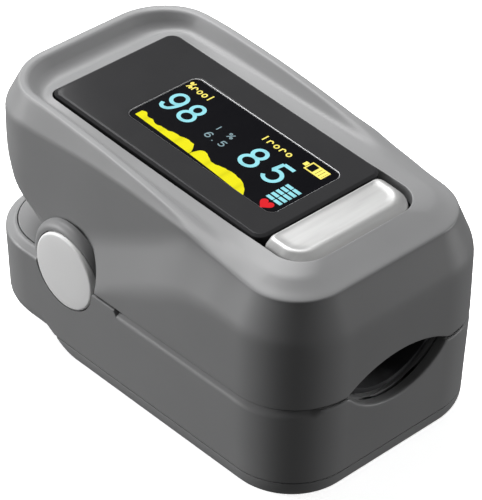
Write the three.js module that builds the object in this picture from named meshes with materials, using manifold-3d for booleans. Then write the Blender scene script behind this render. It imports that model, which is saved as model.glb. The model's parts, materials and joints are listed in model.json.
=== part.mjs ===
// Fingertip pulse oximeter: two clamshell halves on a sprung hinge pin, with the display and its
// board in the upper half and two AAA cells in the lower half.
// Frame: millimetres, +Z up. The finger goes in at -Y, the hinge is towards +Y, X is across.
// The origin is the middle of the footprint, at the height of the table.

import * as THREE from 'three';
import { ConvexGeometry } from 'three/addons/geometries/ConvexGeometry.js';
import { mergeVertices } from 'three/addons/utils/BufferGeometryUtils.js';
import Module from 'manifold-3d';

const wasm = await Module();
wasm.setup();

// ---------------------------------------------------------------- driving dimensions

// Whole object
const WIDTH = 38;                  // across the two halves at the seam
const LENGTH = 63.5;               // front face to the back of the upper half
const HEIGHT = 37.2;               // table to the crest of the display rim
const REAR_OVERHANG = 1.8;         // upper half past the lower half at the back
const CORNER_RADIUS = 9.8;         // vertical corners, in plan
const SEAM_HEIGHT = 15.5;          // middle of the gap between the halves
const SEAM_GAP = 0.3;
const WALL = 1.5;
const CLEARANCE = 0.25;            // between pieces that lie against each other
const DRAFT = 0.03;                // side wall lean, mm per mm of height

// Hinge
const HINGE_FROM_REAR = 20.2;      // from the back of the upper half
const HINGE_ABOVE_SEAM = 0.2;
const HINGE_PIN_RADIUS = 1.0;
const HINGE_BORE_CLEARANCE = 0.08;
const EAR_RADIUS = 6.9;
const EAR_SIDE_GAP = 0.3;          // ear to the side wall of the upper half
const EAR_RIM_GAP = 0.4;           // ear to the round relief in the skirt
const CAP_RADIUS = 5.65;
const CAP_DEPTH = 1.0;
const CAP_GAP = 0.15;
const LUG_RADIUS = 3.0;            // around the pin, on each side wall of the upper half
const REAR_WEDGE_SLOPE = 0.53;     // underside of the upper half behind the hinge
const REAR_WEDGE_FILLET = 6.0;

// Upper half, outside
const SIDE_RECESS = 2.2;           // side wall behind the skirt, in from the seam
const SKIRT_SLOPE = 0.533;         // skirt edge, rising towards the front
const SKIRT_FOOT = 5.85;           // skirt edge meets the seam this far before the hinge
const FACET_HEIGHT = 7.6;          // lit facet above the skirt edge
const FACET_INSET = 2.4;
const NOSE_EDGE_DROP = 12.55;      // below HEIGHT: the front crease of the skirt
const NOSE_CREST_DROP = 6.7;       // below HEIGHT: the front edge of the nose
const NOSE_TOP_DROP = 4.2;         // below HEIGHT: the flat of the nose
const RIM_EDGE_DROP = 3.5;         // below HEIGHT: where the side wall turns into the rim
const RIM_CREST_INSET = 2.5;       // crest of the rim, in from the side wall

// Display and button
const LENS_WIDTH = 21.8;
const LENS_LENGTH = 39.8;
const LENS_THICKNESS = 1.4;
const LENS_FROM_REAR = 9.65;       // lens rear edge to the back of the upper half
const LENS_REAR_DROP = 2.0;        // below HEIGHT: the lens at its rear edge
const LENS_SLOPE = 0.047;          // falls towards the front, mm per mm
const LENS_CORNER = 1.4;
const LENS_GAP = 0.2;
const LENS_PROUD = 0.7;            // lens top above the floor of the rim
const SEAT_LEDGE = 1.3;
const SEAT_THICKNESS = 1.1;
const RIM_FLOOR_MARGIN = 0.6;      // floor of the rim, around the lens
const RIM_FRONT_STOP = 4;          // the floor ends this far behind the front of the lens
const RIM_INNER_LEAN = 0.6;        // inner side of the rim, mm out per mm up
const RIM_REAR_LEAN = 1.5;         // hollow behind the lens, mm back per mm up
const RIM_HOLLOW_TOP = 4.5;        // above the lens top, clear of the crest
const PANEL_THICKNESS = 1.5;
const BOARD_WIDTH = 20.6;
const BOARD_THICKNESS = 0.8;
const BOARD_BELOW_PANEL = 2.0;
const BUTTON_WIDTH = 21;
const BUTTON_LENGTH = 7.1;
const BUTTON_HEIGHT = 2.3;
const BUTTON_CORNER = 4.2;
const BUTTON_SUNK = 0.1;           // button top below the lens top
const BUTTON_TRAVEL = 0.4;
const BUTTON_FLANGE = 0.9;
const BUTTON_FLANGE_THICKNESS = 0.6;
const SWITCH_SIZE = 4.2;
const SWITCH_BODY = 1.1;
const SWITCH_REST_GAP = 0.1;       // nub to button at the end of the travel

// Finger channel
const MOUTH_FLOOR = 4.5;           // lowest point of the mouth below the seam
const MOUTH_FLOOR_RADIUS = 11;
const MOUTH_TOP = 2.75;            // highest point of the mouth above the seam
const MOUTH_TOP_RADIUS = 16.8;
const BED_RADIUS = 9.8;            // inside of the lower pad
const PAD_THICKNESS = 0.7;
const PAD_GAP = 0.12;
const UPPER_PAD_SETBACK = 0.2;     // upper pad above the top of the mouth
const FINGER_DEPTH = 38.5;         // front face to the finger stop
const SENSOR_FROM_STOP = 12.5;
const SENSOR_WINDOW_WIDTH = 4.0;
const SENSOR_WINDOW_LENGTH = 5.0;
const CHIP_SIZE = 2.8;
const CHIP_HEIGHT = 0.9;

// Cells, their contacts and the door
const CELL_RADIUS = 5.25;
const CELL_LENGTH = 44.5;
const CELL_GAP = 0.3;              // between the two cells, and around each
const CELL_FRONT_ROOM = 0.6;       // for the front contact
const CELL_BORE_CLEARANCE = 0.12;
const BED_WALL = 0.45;             // tray between a cell and the pad
const CONTACT_THICKNESS = 0.25;
const REAR_CONTACT_ROOM = 2.1;
const REAR_CONTACT_RISE = 1.7;      // middle of a rear contact above its foot
const CONTACT_FLOOR_GAP = 0.35;     // rear contacts above the raised floor
const CONTACT_LEDGE_GAP = 0.19;     // front contact above the screw ledges
const REAR_SPRING_RADIUS = 1.35;
const CONTACT_WIRE = 0.22;
const DOOR_HEIGHT = 3.26;          // middle of the gap between door and case
const DOOR_GAP = 0.3;
const DOOR_FLOOR = 1.0;
const DOOR_WALL = 1.3;
const BOTTOM_ROUND = 2.7;
const REAR_FLOOR_HEIGHT = 3.8;     // underside behind the door
const REAR_FLOOR_THICKNESS = 0.9;
const DOOR_END_WALL = 0.8;
const RAMP_LENGTH = 4.9;           // finger grip at each rear corner of the door
const RAMP_WIDTH = 7.2;
const RAMP_FOOT = 1.4;             // height of the door's underside where the grip begins
const RAMP_SOLID = 3.2;            // solid stretch of the door ahead of each grip
const DOOR_TRAVEL = 6;             // forward slide that frees the door's hooks
const HOOK_SLACK = 2;              // travel left once a hook is past its catch
const HOOK_FROM_FRONT = 22;
const HOOK_THICKNESS = 0.9;

// Small parts
const SPRING_WIRE = 0.3;           // radius
const SPRING_RADIUS = 2.0;         // middle of the wire
const SPRING_TURNS = 4;
const SPRING_FROM_MIDDLE = 4.4;
const SPRING_LOWER_LEG = 8.5;
const SPRING_UPPER_LEG = 12;
const SPRING_GAP = 0.3;            // leg to what it presses on
const SPRING_ROOM = 0.5;
const SCREW_RADIUS = 0.65;
const SCREW_HEAD_RADIUS = 1.35;
const SCREW_HEAD_HEIGHT = 0.8;
const SCREW_LENGTH = 5.2;
const SCREW_HOLE_CLEARANCE = 0.25;
const BOSS_RADIUS = 2.0;
const FLEX_WIDTH = 2.2;
const FLEX_THICKNESS = 0.2;
const FLEX_BEHIND_PIN = 1.7;

// ---------------------------------------------------------------- places worked out from them

const half = WIDTH / 2;
const front = -LENGTH / 2;
const rear = LENGTH / 2;
const lowerRear = rear - REAR_OVERHANG;
const hingeY = rear - HINGE_FROM_REAR;
const hingeZ = SEAM_HEIGHT + HINGE_ABOVE_SEAM;
const lowerTop = SEAM_HEIGHT - SEAM_GAP / 2;
const upperBottom = SEAM_HEIGHT + SEAM_GAP / 2;
const recessHalf = half - SIDE_RECESS;
const earThickness = SIDE_RECESS - EAR_SIDE_GAP;
const stopY = front + FINGER_DEPTH;
const sensorY = stopY - SENSOR_FROM_STOP;

const cellX = CELL_RADIUS + CELL_GAP;
const cellZ = DOOR_FLOOR + CELL_GAP + CELL_RADIUS;
const cellFront = front + WALL + CELL_FRONT_ROOM;
const cellRear = cellFront + CELL_LENGTH;
const cellBore = CELL_RADIUS + CELL_BORE_CLEARANCE;
const doorRear = cellRear + CELL_GAP + DOOR_END_WALL;
const contactRearY = cellRear + REAR_CONTACT_ROOM;
const cellsHalf = cellX + CELL_RADIUS + CELL_GAP;
const doorTop = DOOR_HEIGHT - DOOR_GAP / 2;
const caseFoot = DOOR_HEIGHT + DOOR_GAP / 2;
const hookX = half - WALL - 2.6;
const hookTop = DOOR_HEIGHT + 2.1;
const hookFront = front + HOOK_FROM_FRONT;
const hookRear = hookFront + DOOR_TRAVEL - HOOK_SLACK;

const bedOuter = BED_RADIUS + PAD_THICKNESS;
const bedReach = bedOuter + PAD_GAP + BED_WALL + cellBore;
const bedZ = cellZ + Math.sqrt(bedReach ** 2 - cellX ** 2);
const mouthFloorZ = SEAM_HEIGHT - MOUTH_FLOOR + MOUTH_FLOOR_RADIUS;
const mouthTopZ = SEAM_HEIGHT + MOUTH_TOP - MOUTH_TOP_RADIUS;
const upperPadZ = mouthTopZ + UPPER_PAD_SETBACK;
const upperPadOuter = MOUTH_TOP_RADIUS + PAD_THICKNESS;

const lensRear = rear - LENS_FROM_REAR;
const lensMiddle = lensRear - LENS_LENGTH / 2;
const lensFront = lensRear - LENS_LENGTH;
const lensTop = (y) => HEIGHT - LENS_REAR_DROP - LENS_SLOPE * (lensRear - y);
const lensTilt = Math.atan(LENS_SLOPE);
const buttonRear = lensFront - LENS_GAP;
const buttonFront = buttonRear - BUTTON_LENGTH;
const buttonMiddle = (buttonRear + buttonFront) / 2;
const panelDrop = LENS_THICKNESS + CLEARANCE;
const boardDrop = panelDrop + PANEL_THICKNESS + BOARD_BELOW_PANEL;
const boardFront = buttonFront + 0.6;
const boardRear = lensRear - 5.2;

const wedge = (y) => hingeZ + REAR_WEDGE_SLOPE * (y - hingeY - 0.45);

// ---------------------------------------------------------------- solid helpers

// A closed three.js geometry as a solid that can be joined and cut.
function solid(geometry) {
  const bare = geometry.index ? geometry.toNonIndexed() : geometry.clone();
  bare.deleteAttribute('normal');
  bare.deleteAttribute('uv');
  const merged = mergeVertices(bare, 1e-4);
  const corners = merged.index.array;
  const kept = [];
  for (let i = 0; i < corners.length; i += 3) {
    const [a, b, c] = [corners[i], corners[i + 1], corners[i + 2]];
    if (a !== b && b !== c && c !== a) kept.push(a, b, c);
  }
  return new wasm.Manifold(new wasm.Mesh({
    numProp: 3,
    vertProperties: merged.attributes.position.array,
    triVerts: new Uint32Array(kept),
  }));
}

function geometryOf(piece) {
  const { numProp, vertProperties, triVerts } = piece.getMesh();
  const places = new Float32Array((vertProperties.length / numProp) * 3);
  for (let i = 0; i < places.length / 3; i++) {
    for (let k = 0; k < 3; k++) places[3 * i + k] = vertProperties[numProp * i + k];
  }
  const geometry = new THREE.BufferGeometry();
  geometry.setAttribute('position', new THREE.BufferAttribute(places, 3));
  geometry.setIndex(new THREE.BufferAttribute(new Uint32Array(triVerts), 1));
  geometry.computeVertexNormals();
  return geometry;
}

const join = (pieces) => pieces.reduce((sum, piece) => sum.add(piece));
const cut = (piece, ...tools) => tools.reduce((rest, tool) => rest.subtract(tool), piece);

// A block between two limits on each axis.
function block([x0, x1], [y0, y1], [z0, z1]) {
  const geometry = new THREE.BoxGeometry(x1 - x0, y1 - y0, z1 - z0);
  return solid(geometry.translate((x0 + x1) / 2, (y0 + y1) / 2, (z0 + z1) / 2));
}

// A round bar along one axis: at is its place on the other two, in X, Y, Z order.
function bar(axis, radius, at, from, to, sides = 32) {
  const geometry = new THREE.CylinderGeometry(radius, radius, to - from, sides);
  geometry.translate(0, (from + to) / 2, 0);
  if (axis === 'x') geometry.rotateZ(-Math.PI / 2).translate(0, at[0], at[1]);
  if (axis === 'y') geometry.translate(at[0], 0, at[1]);
  if (axis === 'z') geometry.rotateX(Math.PI / 2).translate(at[0], at[1], 0);
  return solid(geometry);
}

// An outline in X, Y raised along Z.
function raised(outline, z0, z1) {
  const geometry = new THREE.ExtrudeGeometry(outline, {
    depth: z1 - z0, bevelEnabled: false, curveSegments: 8,
  });
  return solid(geometry.translate(0, 0, z0));
}

// A side outline, drawn as (y, z) pairs, carried across X.
function across(points, x0, x1) {
  const outline = new THREE.Shape(points.map(([y, z]) => new THREE.Vector2(y, z)));
  const geometry = new THREE.ExtrudeGeometry(outline, { depth: x1 - x0, bevelEnabled: false });
  geometry.rotateY(Math.PI / 2).rotateX(Math.PI / 2);
  return solid(geometry.translate(x0, 0, 0));
}

// A rectangle in plan with one corner radius at the front and one at the rear.
function planOutline(halfWidth, y0, y1, frontRadius, rearRadius = frontRadius) {
  const outline = new THREE.Shape();
  outline.absarc(halfWidth - rearRadius, y1 - rearRadius, rearRadius, 0, Math.PI / 2);
  outline.absarc(rearRadius - halfWidth, y1 - rearRadius, rearRadius, Math.PI / 2, Math.PI);
  outline.absarc(frontRadius - halfWidth, y0 + frontRadius, frontRadius, Math.PI, 1.5 * Math.PI);
  outline.absarc(halfWidth - frontRadius, y0 + frontRadius, frontRadius, 1.5 * Math.PI, 2 * Math.PI);
  outline.closePath();
  return outline;
}

// The points of a plan outline, each lifted to heightAt(y).
function ring(halfWidth, y0, y1, radius, heightAt) {
  const points = planOutline(halfWidth, y0, y1, radius).getPoints(4);
  return points.map((p) => new THREE.Vector3(p.x, p.y, heightAt(p.y)));
}

const hull = (points) => solid(new ConvexGeometry(points));
const level = (z) => () => z;

// A round wire or strip section carried along a path of points.
function swept(section, path, steps) {
  const geometry = new THREE.ExtrudeGeometry(section, {
    steps, bevelEnabled: false, extrudePath: path, curveSegments: 2,
  });
  return solid(geometry);
}

function roundSection(radius, sides = 6) {
  const corners = Array.from({ length: sides }, (_, i) => new THREE.Vector2(
    radius * Math.cos((2 * Math.PI * i) / sides), radius * Math.sin((2 * Math.PI * i) / sides)));
  return new THREE.Shape(corners);
}

// ---------------------------------------------------------------- outer forms of the two halves

// Lower half: upright sides that lean in slightly on the way down, with a rounded bottom edge.
function lowerForm(inset, bottom) {
  const points = [];
  const around = (extra, z) => points.push(...ring(
    half - inset - extra, front + inset + extra, lowerRear - inset - extra,
    CORNER_RADIUS - inset - extra, level(z)));
  around(0, lowerTop + (inset > 0 ? WALL : 0));
  const lean = DRAFT * (lowerTop - bottom - BOTTOM_ROUND);
  const round = BOTTOM_ROUND - Math.min(inset, BOTTOM_ROUND - 0.6);
  for (let i = 0; i <= 3; i++) {
    const turn = (i / 3) * (Math.PI / 2);
    around(lean + round * (1 - Math.cos(turn)), bottom + round * (1 - Math.sin(turn)));
  }
  return hull(points);
}

const skirtEdge = (y) => upperBottom + SKIRT_SLOPE * (hingeY - SKIRT_FOOT - y);

// Front skirt and nose: full width at the seam, one lit facet, then the nose.
function skirtForm(inset, drop) {
  const footY = hingeY - SKIRT_FOOT - inset;
  const noseEdge = (y) => HEIGHT - NOSE_EDGE_DROP + 0.1 * (y - front);
  const noseCrest = (y) => HEIGHT - NOSE_CREST_DROP + 0.12 * (y - front - FACET_INSET) - drop;
  const edgeZ = (y) => Math.min(noseEdge(y), skirtEdge(y));
  const crestZ = (y) => Math.min(noseCrest(y), skirtEdge(y) + FACET_HEIGHT - drop);
  const bottom = upperBottom - (inset > 0 ? WALL : 0);
  const topInset = FACET_INSET + inset;
  const flat = topInset + 3.4;
  const tail = hingeY - SKIRT_FOOT + FACET_HEIGHT / SKIRT_SLOPE;
  const points = [];
  const add = (ringInset, limit, heightAt) => {
    const radius = Math.max(2, CORNER_RADIUS - ringInset);
    const all = ring(half - ringInset, front + ringInset, rear, radius, heightAt);
    points.push(...all.filter((p) => p.y < limit));
    const ends = [limit, (limit + front) / 2, front + 14, front + 18];
    for (const y of ends) {
      for (const side of [-1, 1]) {
        points.push(new THREE.Vector3(side * (half - ringInset), y, heightAt(y)));
      }
    }
  };
  add(inset, footY, level(bottom));
  add(inset + 0.25, footY, edgeZ);
  add(topInset, hingeY - SKIRT_FOOT - 10, crestZ);
  add(flat, lensFront, level(HEIGHT - NOSE_TOP_DROP - drop));
  for (const side of [-1, 1]) {
    points.push(new THREE.Vector3(side * (half - topInset), tail, bottom));
  }
  return hull(points);
}

// Main body of the upper half: recessed side walls, rising to the display rim.
function bodyForm(inset, drop) {
  const bodyFront = lensFront + 3;
  const bottomZ = upperBottom - (inset > 0 ? WALL : 0);
  const rimEdge = (y) => HEIGHT - RIM_EDGE_DROP - 0.0052 * (y - 5) ** 2 - drop;
  const crestY = hingeY - 3;
  const crest = (y) => HEIGHT - 0.0062 * (y - crestY) ** 2 - drop;
  const points = [];
  const add = (halfWidth, y0, y1, radius, heightAt) => {
    points.push(...ring(halfWidth, y0, y1, radius, heightAt));
    for (const y of [-8, -3, 2, crestY, 14]) {
      points.push(new THREE.Vector3(halfWidth, y, heightAt(y)));
      points.push(new THREE.Vector3(-halfWidth, y, heightAt(y)));
    }
  };
  const edgeHalf = recessHalf - inset;
  const rearEdge = rear - inset;
  add(edgeHalf + 0.3, bodyFront, rearEdge, CORNER_RADIUS - inset, level(bottomZ));
  add(edgeHalf + 0.1, bodyFront, rearEdge, CORNER_RADIUS - inset, level(HEIGHT - 7 - drop));
  add(edgeHalf, bodyFront, rearEdge - 0.25, CORNER_RADIUS - inset, rimEdge);
  const crestIn = RIM_CREST_INSET;
  add(edgeHalf - crestIn, bodyFront + 7, rearEdge - crestIn, CORNER_RADIUS - inset - crestIn, crest);
  return hull(points);
}

// Everything under the slanted rear underside, which leaves room for the upper half to tip.
function underWedge(lift) {
  const cornerY = rear;
  const corner = wedge(cornerY);
  const angle = Math.atan(REAR_WEDGE_SLOPE);
  const tangent = REAR_WEDGE_FILLET * Math.tan((Math.PI / 2 - angle) / 2);
  const centre = [cornerY - REAR_WEDGE_FILLET, corner + tangent];
  const points = [[hingeY + 0.45, wedge(hingeY + 0.45) + lift]];
  for (let i = 0; i <= 5; i++) {
    const turn = -Math.PI / 2 + angle + (i / 5) * (Math.PI / 2 - angle);
    points.push([
      centre[0] + (REAR_WEDGE_FILLET - lift) * Math.cos(turn),
      centre[1] + (REAR_WEDGE_FILLET - lift) * Math.sin(turn),
    ]);
  }
  points.push([rear + 5, centre[1]], [rear + 5, -5], [hingeY + 0.45, -5]);
  return across(points, -WIDTH, WIDTH);
}

const mirrored = (make) => [-1, 1].map((side) => make(side));
const span = (side, a, b) => (side > 0 ? [a, b] : [-b, -a]);

// ---------------------------------------------------------------- screws

function screwSolid([x, y], headZ) {
  const profile = [
    [0, 0], [SCREW_HEAD_RADIUS, 0], [SCREW_HEAD_RADIUS, SCREW_HEAD_HEIGHT * 0.6],
    [SCREW_RADIUS, SCREW_HEAD_HEIGHT], [SCREW_RADIUS, SCREW_LENGTH - 0.6], [0, SCREW_LENGTH],
  ].map(([r, z]) => new THREE.Vector2(r, z));
  const geometry = new THREE.LatheGeometry(profile, 12).rotateX(Math.PI / 2);
  const body = solid(geometry);
  const slot = 0.16;
  const reach = SCREW_HEAD_RADIUS * 0.6;
  const recess = join([
    block([-reach, reach], [-slot, slot], [-1, 0.45]),
    block([-slot, slot], [-reach, reach], [-1, 0.45]),
  ]);
  return cut(body, recess).translate([x, y, headZ]);
}

// Room for a screw that points up: its shank and a recess for its head.
function screwRoom([x, y], headZ, top) {
  return join([
    bar('z', SCREW_RADIUS + SCREW_HOLE_CLEARANCE, [x, y], headZ - 0.1, top, 16),
    bar('z', SCREW_HEAD_RADIUS + SCREW_HOLE_CLEARANCE, [x, y],
      headZ - 20, headZ + SCREW_HEAD_HEIGHT + 0.1, 20),
  ]);
}

// Lower screws: two under the door beside the cells, two in the raised floor.
const sideScrewX = (cellX + cellBore + half - WALL) / 2;
const lowerScrews = {
  front_left: { at: [-sideScrewX, front + 13], headZ: DOOR_HEIGHT + DOOR_GAP + 0.1 },
  front_right: { at: [sideScrewX, front + 13], headZ: DOOR_HEIGHT + DOOR_GAP + 0.1 },
  rear_left: { at: [-sideScrewX + 2.2, lowerRear - 6.2], headZ: REAR_FLOOR_HEIGHT + 0.2 },
  rear_right: { at: [sideScrewX - 2.2, lowerRear - 6.2], headZ: REAR_FLOOR_HEIGHT + 0.2 },
};
const ledgeTop = DOOR_HEIGHT + 2.4;
const rearPost = REAR_FLOOR_HEIGHT + REAR_FLOOR_THICKNESS + 0.6;

// Upper screws: through the flat of the upper frame into bosses of the upper case.
const upperScrewX = recessHalf - WALL - BOSS_RADIUS + 0.4;
const upperScrewHead = upperBottom + 0.1;
const frameFlat = 1.5;
const upperScrews = {
  front_left: [-upperScrewX, front + 11.5],
  front_right: [upperScrewX, front + 11.5],
  rear_left: [-upperScrewX, stopY - 2.6],
  rear_right: [upperScrewX, stopY - 2.6],
};

// ---------------------------------------------------------------- lower half

const rounded = (r, at, y0, y1, sides) => bar('y', r, at, y0, y1, sides);

// Where the two arms of the upper case come down around the pin, inside the lower rim.
const lugOuter = recessHalf + 0.3;
const lugInner = lugOuter - WALL;
const lugRoom = join(mirrored((side) => bar(
  'x', LUG_RADIUS + CLEARANCE, [hingeY, hingeZ], ...span(side, lugInner - CLEARANCE, half - 1.2), 32)));
const pinRoom = bar('x', HINGE_PIN_RADIUS + CLEARANCE, [hingeY, hingeZ], -half, half, 24);

const springInner = SPRING_FROM_MIDDLE - 0.6;
const springWidth = SPRING_TURNS * 2 * SPRING_WIRE * 1.12 + 2 * SPRING_WIRE;
const springOuter = SPRING_FROM_MIDDLE + springWidth + 0.6;
const springReach = SPRING_RADIUS + SPRING_WIRE + SPRING_ROOM;
const springTail = hingeY + SPRING_LOWER_LEG + 1.2;
const springAngle = Math.atan(REAR_WEDGE_SLOPE) + 0.03;
const springTipZ = hingeZ + SPRING_RADIUS * Math.cos(springAngle)
  + SPRING_UPPER_LEG * Math.sin(springAngle);

function lowerCase() {
  const raisedRear = lowerForm(0, REAR_FLOOR_HEIGHT);
  const aboveDoor = block([-WIDTH, WIDTH], [front - 1, doorRear + DOOR_GAP],
    [caseFoot, HEIGHT]);
  const ears = mirrored((side) => join([
    bar('x', EAR_RADIUS, [hingeY, hingeZ], ...span(side, half - earThickness, half), 48),
    block(span(side, half - earThickness, half - 0.2), [hingeY - EAR_RADIUS, hingeY + EAR_RADIUS],
      [lowerTop - 6, hingeZ]),
  ]));
  const outside = join([raisedRear, lowerForm(0, 0).intersect(aboveDoor), ...ears]);

  const inside = lowerForm(WALL, REAR_FLOOR_HEIGHT + REAR_FLOOR_THICKNESS);
  const doorway = raised(planOutline(half - WALL, front + WALL, doorRear - DOOR_END_WALL,
    CORNER_RADIUS - WALL, 1), 0, ledgeTop);
  const mouth = rounded(MOUTH_FLOOR_RADIUS, [0, mouthFloorZ], front - 1, front + WALL + 0.5, 72);
  const capSeats = mirrored((side) => bar('x', CAP_RADIUS + CAP_GAP, [hingeY, hingeZ],
    ...span(side, half - CAP_DEPTH - CAP_GAP, half + 1), 40));
  const shell = cut(outside, inside, doorway, mouth, ...capSeats,
    block([-half + earThickness, half - earThickness], [hingeY - 9, hingeY + 9], [lowerTop, HEIGHT]));

  const ledges = Object.values(lowerScrews).slice(0, 2).map(({ at: [x, y] }) => {
    const side = Math.sign(x);
    return block(span(side, Math.abs(x) - 2.2, half - WALL + 0.4), [y - 2.6, y + 2.6],
      [caseFoot, ledgeTop]);
  });
  const posts = Object.values(lowerScrews).slice(2).map(({ at }) => bar(
    'z', BOSS_RADIUS, at, REAR_FLOOR_HEIGHT + 0.3, rearPost, 20));
  // The wall behind the cells hangs from the raised floor, so that the door can slide under it.
  const endWall = block([-cellsHalf + DOOR_GAP, cellsHalf - DOOR_GAP], [cellRear + CELL_GAP, doorRear],
    [DOOR_FLOOR + DOOR_GAP, REAR_FLOOR_HEIGHT + REAR_FLOOR_THICKNESS]);
  const rooms = Object.values(lowerScrews).map(({ at, headZ }) => screwRoom(at, headZ, lowerTop));
  return cut(join([shell, endWall, ...ledges, ...posts]), ...rooms, pinRoom, lugRoom);
}

function lowerFrame() {
  const edge = WALL + CLEARANCE;
  const outline = planOutline(half - edge, front + edge, lowerRear - edge, CORNER_RADIUS - edge);
  const plateThickness = 1.5;
  const plate = raised(outline, lowerTop - plateThickness, lowerTop);
  const cradleHalf = cellX + cellBore + 1.1;
  const cradleEnd = contactRearY + CONTACT_THICKNESS + 1.6;
  const cradle = block([-cradleHalf, cradleHalf], [front + edge, cradleEnd], [cellZ + 0.6, lowerTop]);
  const bosses = Object.values(lowerScrews).map(({ at }, i) => bar(
    'z', BOSS_RADIUS, at, (i < 2 ? ledgeTop : rearPost) + CLEARANCE, lowerTop, 20));
  const body = join([plate, cradle.intersect(raised(outline, 0, lowerTop)).intersect(lowerForm(edge, 0)),
    ...bosses]);

  const cells = mirrored((side) => rounded(cellBore, [side * cellX, cellZ],
    front, contactRearY + CONTACT_THICKNESS + CLEARANCE, 48));
  const bed = rounded(bedOuter + PAD_GAP, [0, bedZ], front, stopY + PAD_THICKNESS + PAD_GAP, 72);
  const springs = block([-springOuter, springOuter], [hingeY - springReach, springTail],
    [hingeZ - springReach, HEIGHT]);
  const sensor = join([
    block([-CHIP_SIZE / 2 - CLEARANCE, CHIP_SIZE / 2 + CLEARANCE],
      [sensorY - CHIP_SIZE / 2 - CLEARANCE, sensorY + CHIP_SIZE / 2 + CLEARANCE],
      [sensorChipZ - CLEARANCE - 0.5, lowerTop]),
    block([-FLEX_WIDTH / 2 - CLEARANCE, FLEX_WIDTH / 2 + CLEARANCE],
      [sensorY - CHIP_SIZE / 2 - CLEARANCE, hingeY],
      [flexLowZ - FLEX_THICKNESS - CLEARANCE, flexLowZ + FLEX_THICKNESS + CLEARANCE]),
    block([-SENSOR_WINDOW_WIDTH / 2 - CLEARANCE, SENSOR_WINDOW_WIDTH / 2 + CLEARANCE],
      [sensorY - SENSOR_WINDOW_LENGTH / 2 - CLEARANCE, sensorY + SENSOR_WINDOW_LENGTH / 2 + CLEARANCE],
      [padFloorZ - PAD_THICKNESS - 0.1, lowerTop]),
    block([-FLEX_WIDTH / 2 - CLEARANCE, FLEX_WIDTH / 2 + CLEARANCE],
      [hingeY - 0.5, hingeY + FLEX_BEHIND_PIN + 1],
      [flexLowZ - FLEX_THICKNESS - CLEARANCE, HEIGHT]),
  ]);
  const contactRoom = block([-cellX - 3, cellX + 3], [front, cellFront], [0, cellZ + 3]);
  const holes = Object.values(lowerScrews).map(({ at, headZ }) => bar(
    'z', SCREW_RADIUS + SCREW_HOLE_CLEARANCE, at, 0, headZ + SCREW_LENGTH + 0.4, 16));
  const mouth = rounded(MOUTH_FLOOR_RADIUS, [0, mouthFloorZ], front - 1, front + WALL + 1.2, 72);
  return cut(body, ...cells, bed, springs, sensor, contactRoom, pinRoom, lugRoom, mouth, ...holes);
}

function lowerPad() {
  const y0 = front + WALL + CLEARANCE + 0.3;
  const outer = rounded(bedOuter, [0, bedZ], y0, stopY + PAD_THICKNESS, 60);
  const inner = rounded(BED_RADIUS, [0, bedZ], y0 - 1, stopY, 60);
  const below = block([-WIDTH, WIDTH], [front, rear], [0, lowerTop]);
  const window = block([-SENSOR_WINDOW_WIDTH / 2 - CLEARANCE, SENSOR_WINDOW_WIDTH / 2 + CLEARANCE],
    [sensorY - SENSOR_WINDOW_LENGTH / 2 - CLEARANCE, sensorY + SENSOR_WINDOW_LENGTH / 2 + CLEARANCE],
    [0, lowerTop]);
  return cut(cut(outer, inner).intersect(below), window);
}

function batteryDoor() {
  const under = block([-WIDTH, WIDTH], [front - 1, doorRear], [-1, doorTop]);
  const outside = lowerForm(0, 0).intersect(under);
  const inner = (inset, z0) => raised(planOutline(half - inset, front + inset, cellRear + CELL_GAP,
    CORNER_RADIUS - inset, 1), z0, DOOR_HEIGHT);
  const rampInner = half - RAMP_WIDTH;
  const rampFront = doorRear - RAMP_LENGTH;
  const solidCorners = mirrored((side) => block(span(side, cellsHalf, half),
    [rampFront - RAMP_SOLID, doorRear + 1], [0, DOOR_HEIGHT]));
  const cellRoom = block([-cellsHalf, cellsHalf], [cellRear, doorRear + 1], [DOOR_FLOOR, DOOR_HEIGHT]);
  const hollow = cut(join([inner(DOOR_WALL + 1.2, DOOR_FLOOR), inner(DOOR_WALL, DOOR_FLOOR + 1)]),
    ...solidCorners).add(cellRoom);
  // A finger grip at each rear corner, where the underside slopes up to the seam.
  const ramps = mirrored((side) => {
    const points = [[rampFront, RAMP_FOOT], [doorRear + 1, doorTop + 0.6],
      [doorRear + 1, -1], [rampFront - 2.2, -1]];
    return across(points, ...span(side, rampInner, half + 1));
  });
  // Hooks stand up beside the cells and turn outwards over the case's catches.
  const hooks = mirrored((side) => join([
    block(span(side, hookX - HOOK_THICKNESS, hookX), [hookFront, hookRear],
      [DOOR_FLOOR - 0.5, hookTop]),
    block(span(side, hookX - HOOK_THICKNESS, hookX + 1.0), [hookFront, hookRear],
      [hookTop - HOOK_THICKNESS, hookTop]),
  ]));
  return join([cut(outside, hollow, ...ramps), ...hooks]);
}

// The case's catch for each door hook, on the side wall above the seam of the door.
function hookCatches() {
  return mirrored((side) => block(span(side, hookX + CLEARANCE, half - WALL + 0.4),
    [hookFront, hookRear], [caseFoot, hookTop - HOOK_THICKNESS - CLEARANCE]));
}

function cell(side) {
  const r = CELL_RADIUS;
  const nub = 1.0;
  const profile = [
    [0, 0], [r - 1.2, 0], [r - 0.9, 0.4], [r - 0.3, 0.4], [r, 0.8],
    [r, CELL_LENGTH - nub - 0.8], [r - 0.5, CELL_LENGTH - nub - 0.2], [2.2, CELL_LENGTH - nub],
    [2.0, CELL_LENGTH - nub], [1.9, CELL_LENGTH - 0.2], [1.7, CELL_LENGTH], [0, CELL_LENGTH],
  ].map(([a, b]) => new THREE.Vector2(a, b));
  const geometry = new THREE.LatheGeometry(profile, 24);
  geometry.translate(0, -CELL_LENGTH / 2, 0);
  if (side > 0) geometry.rotateZ(Math.PI);
  geometry.translate(side * cellX, (cellFront + cellRear) / 2, cellZ);
  return solid(geometry);
}

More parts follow.
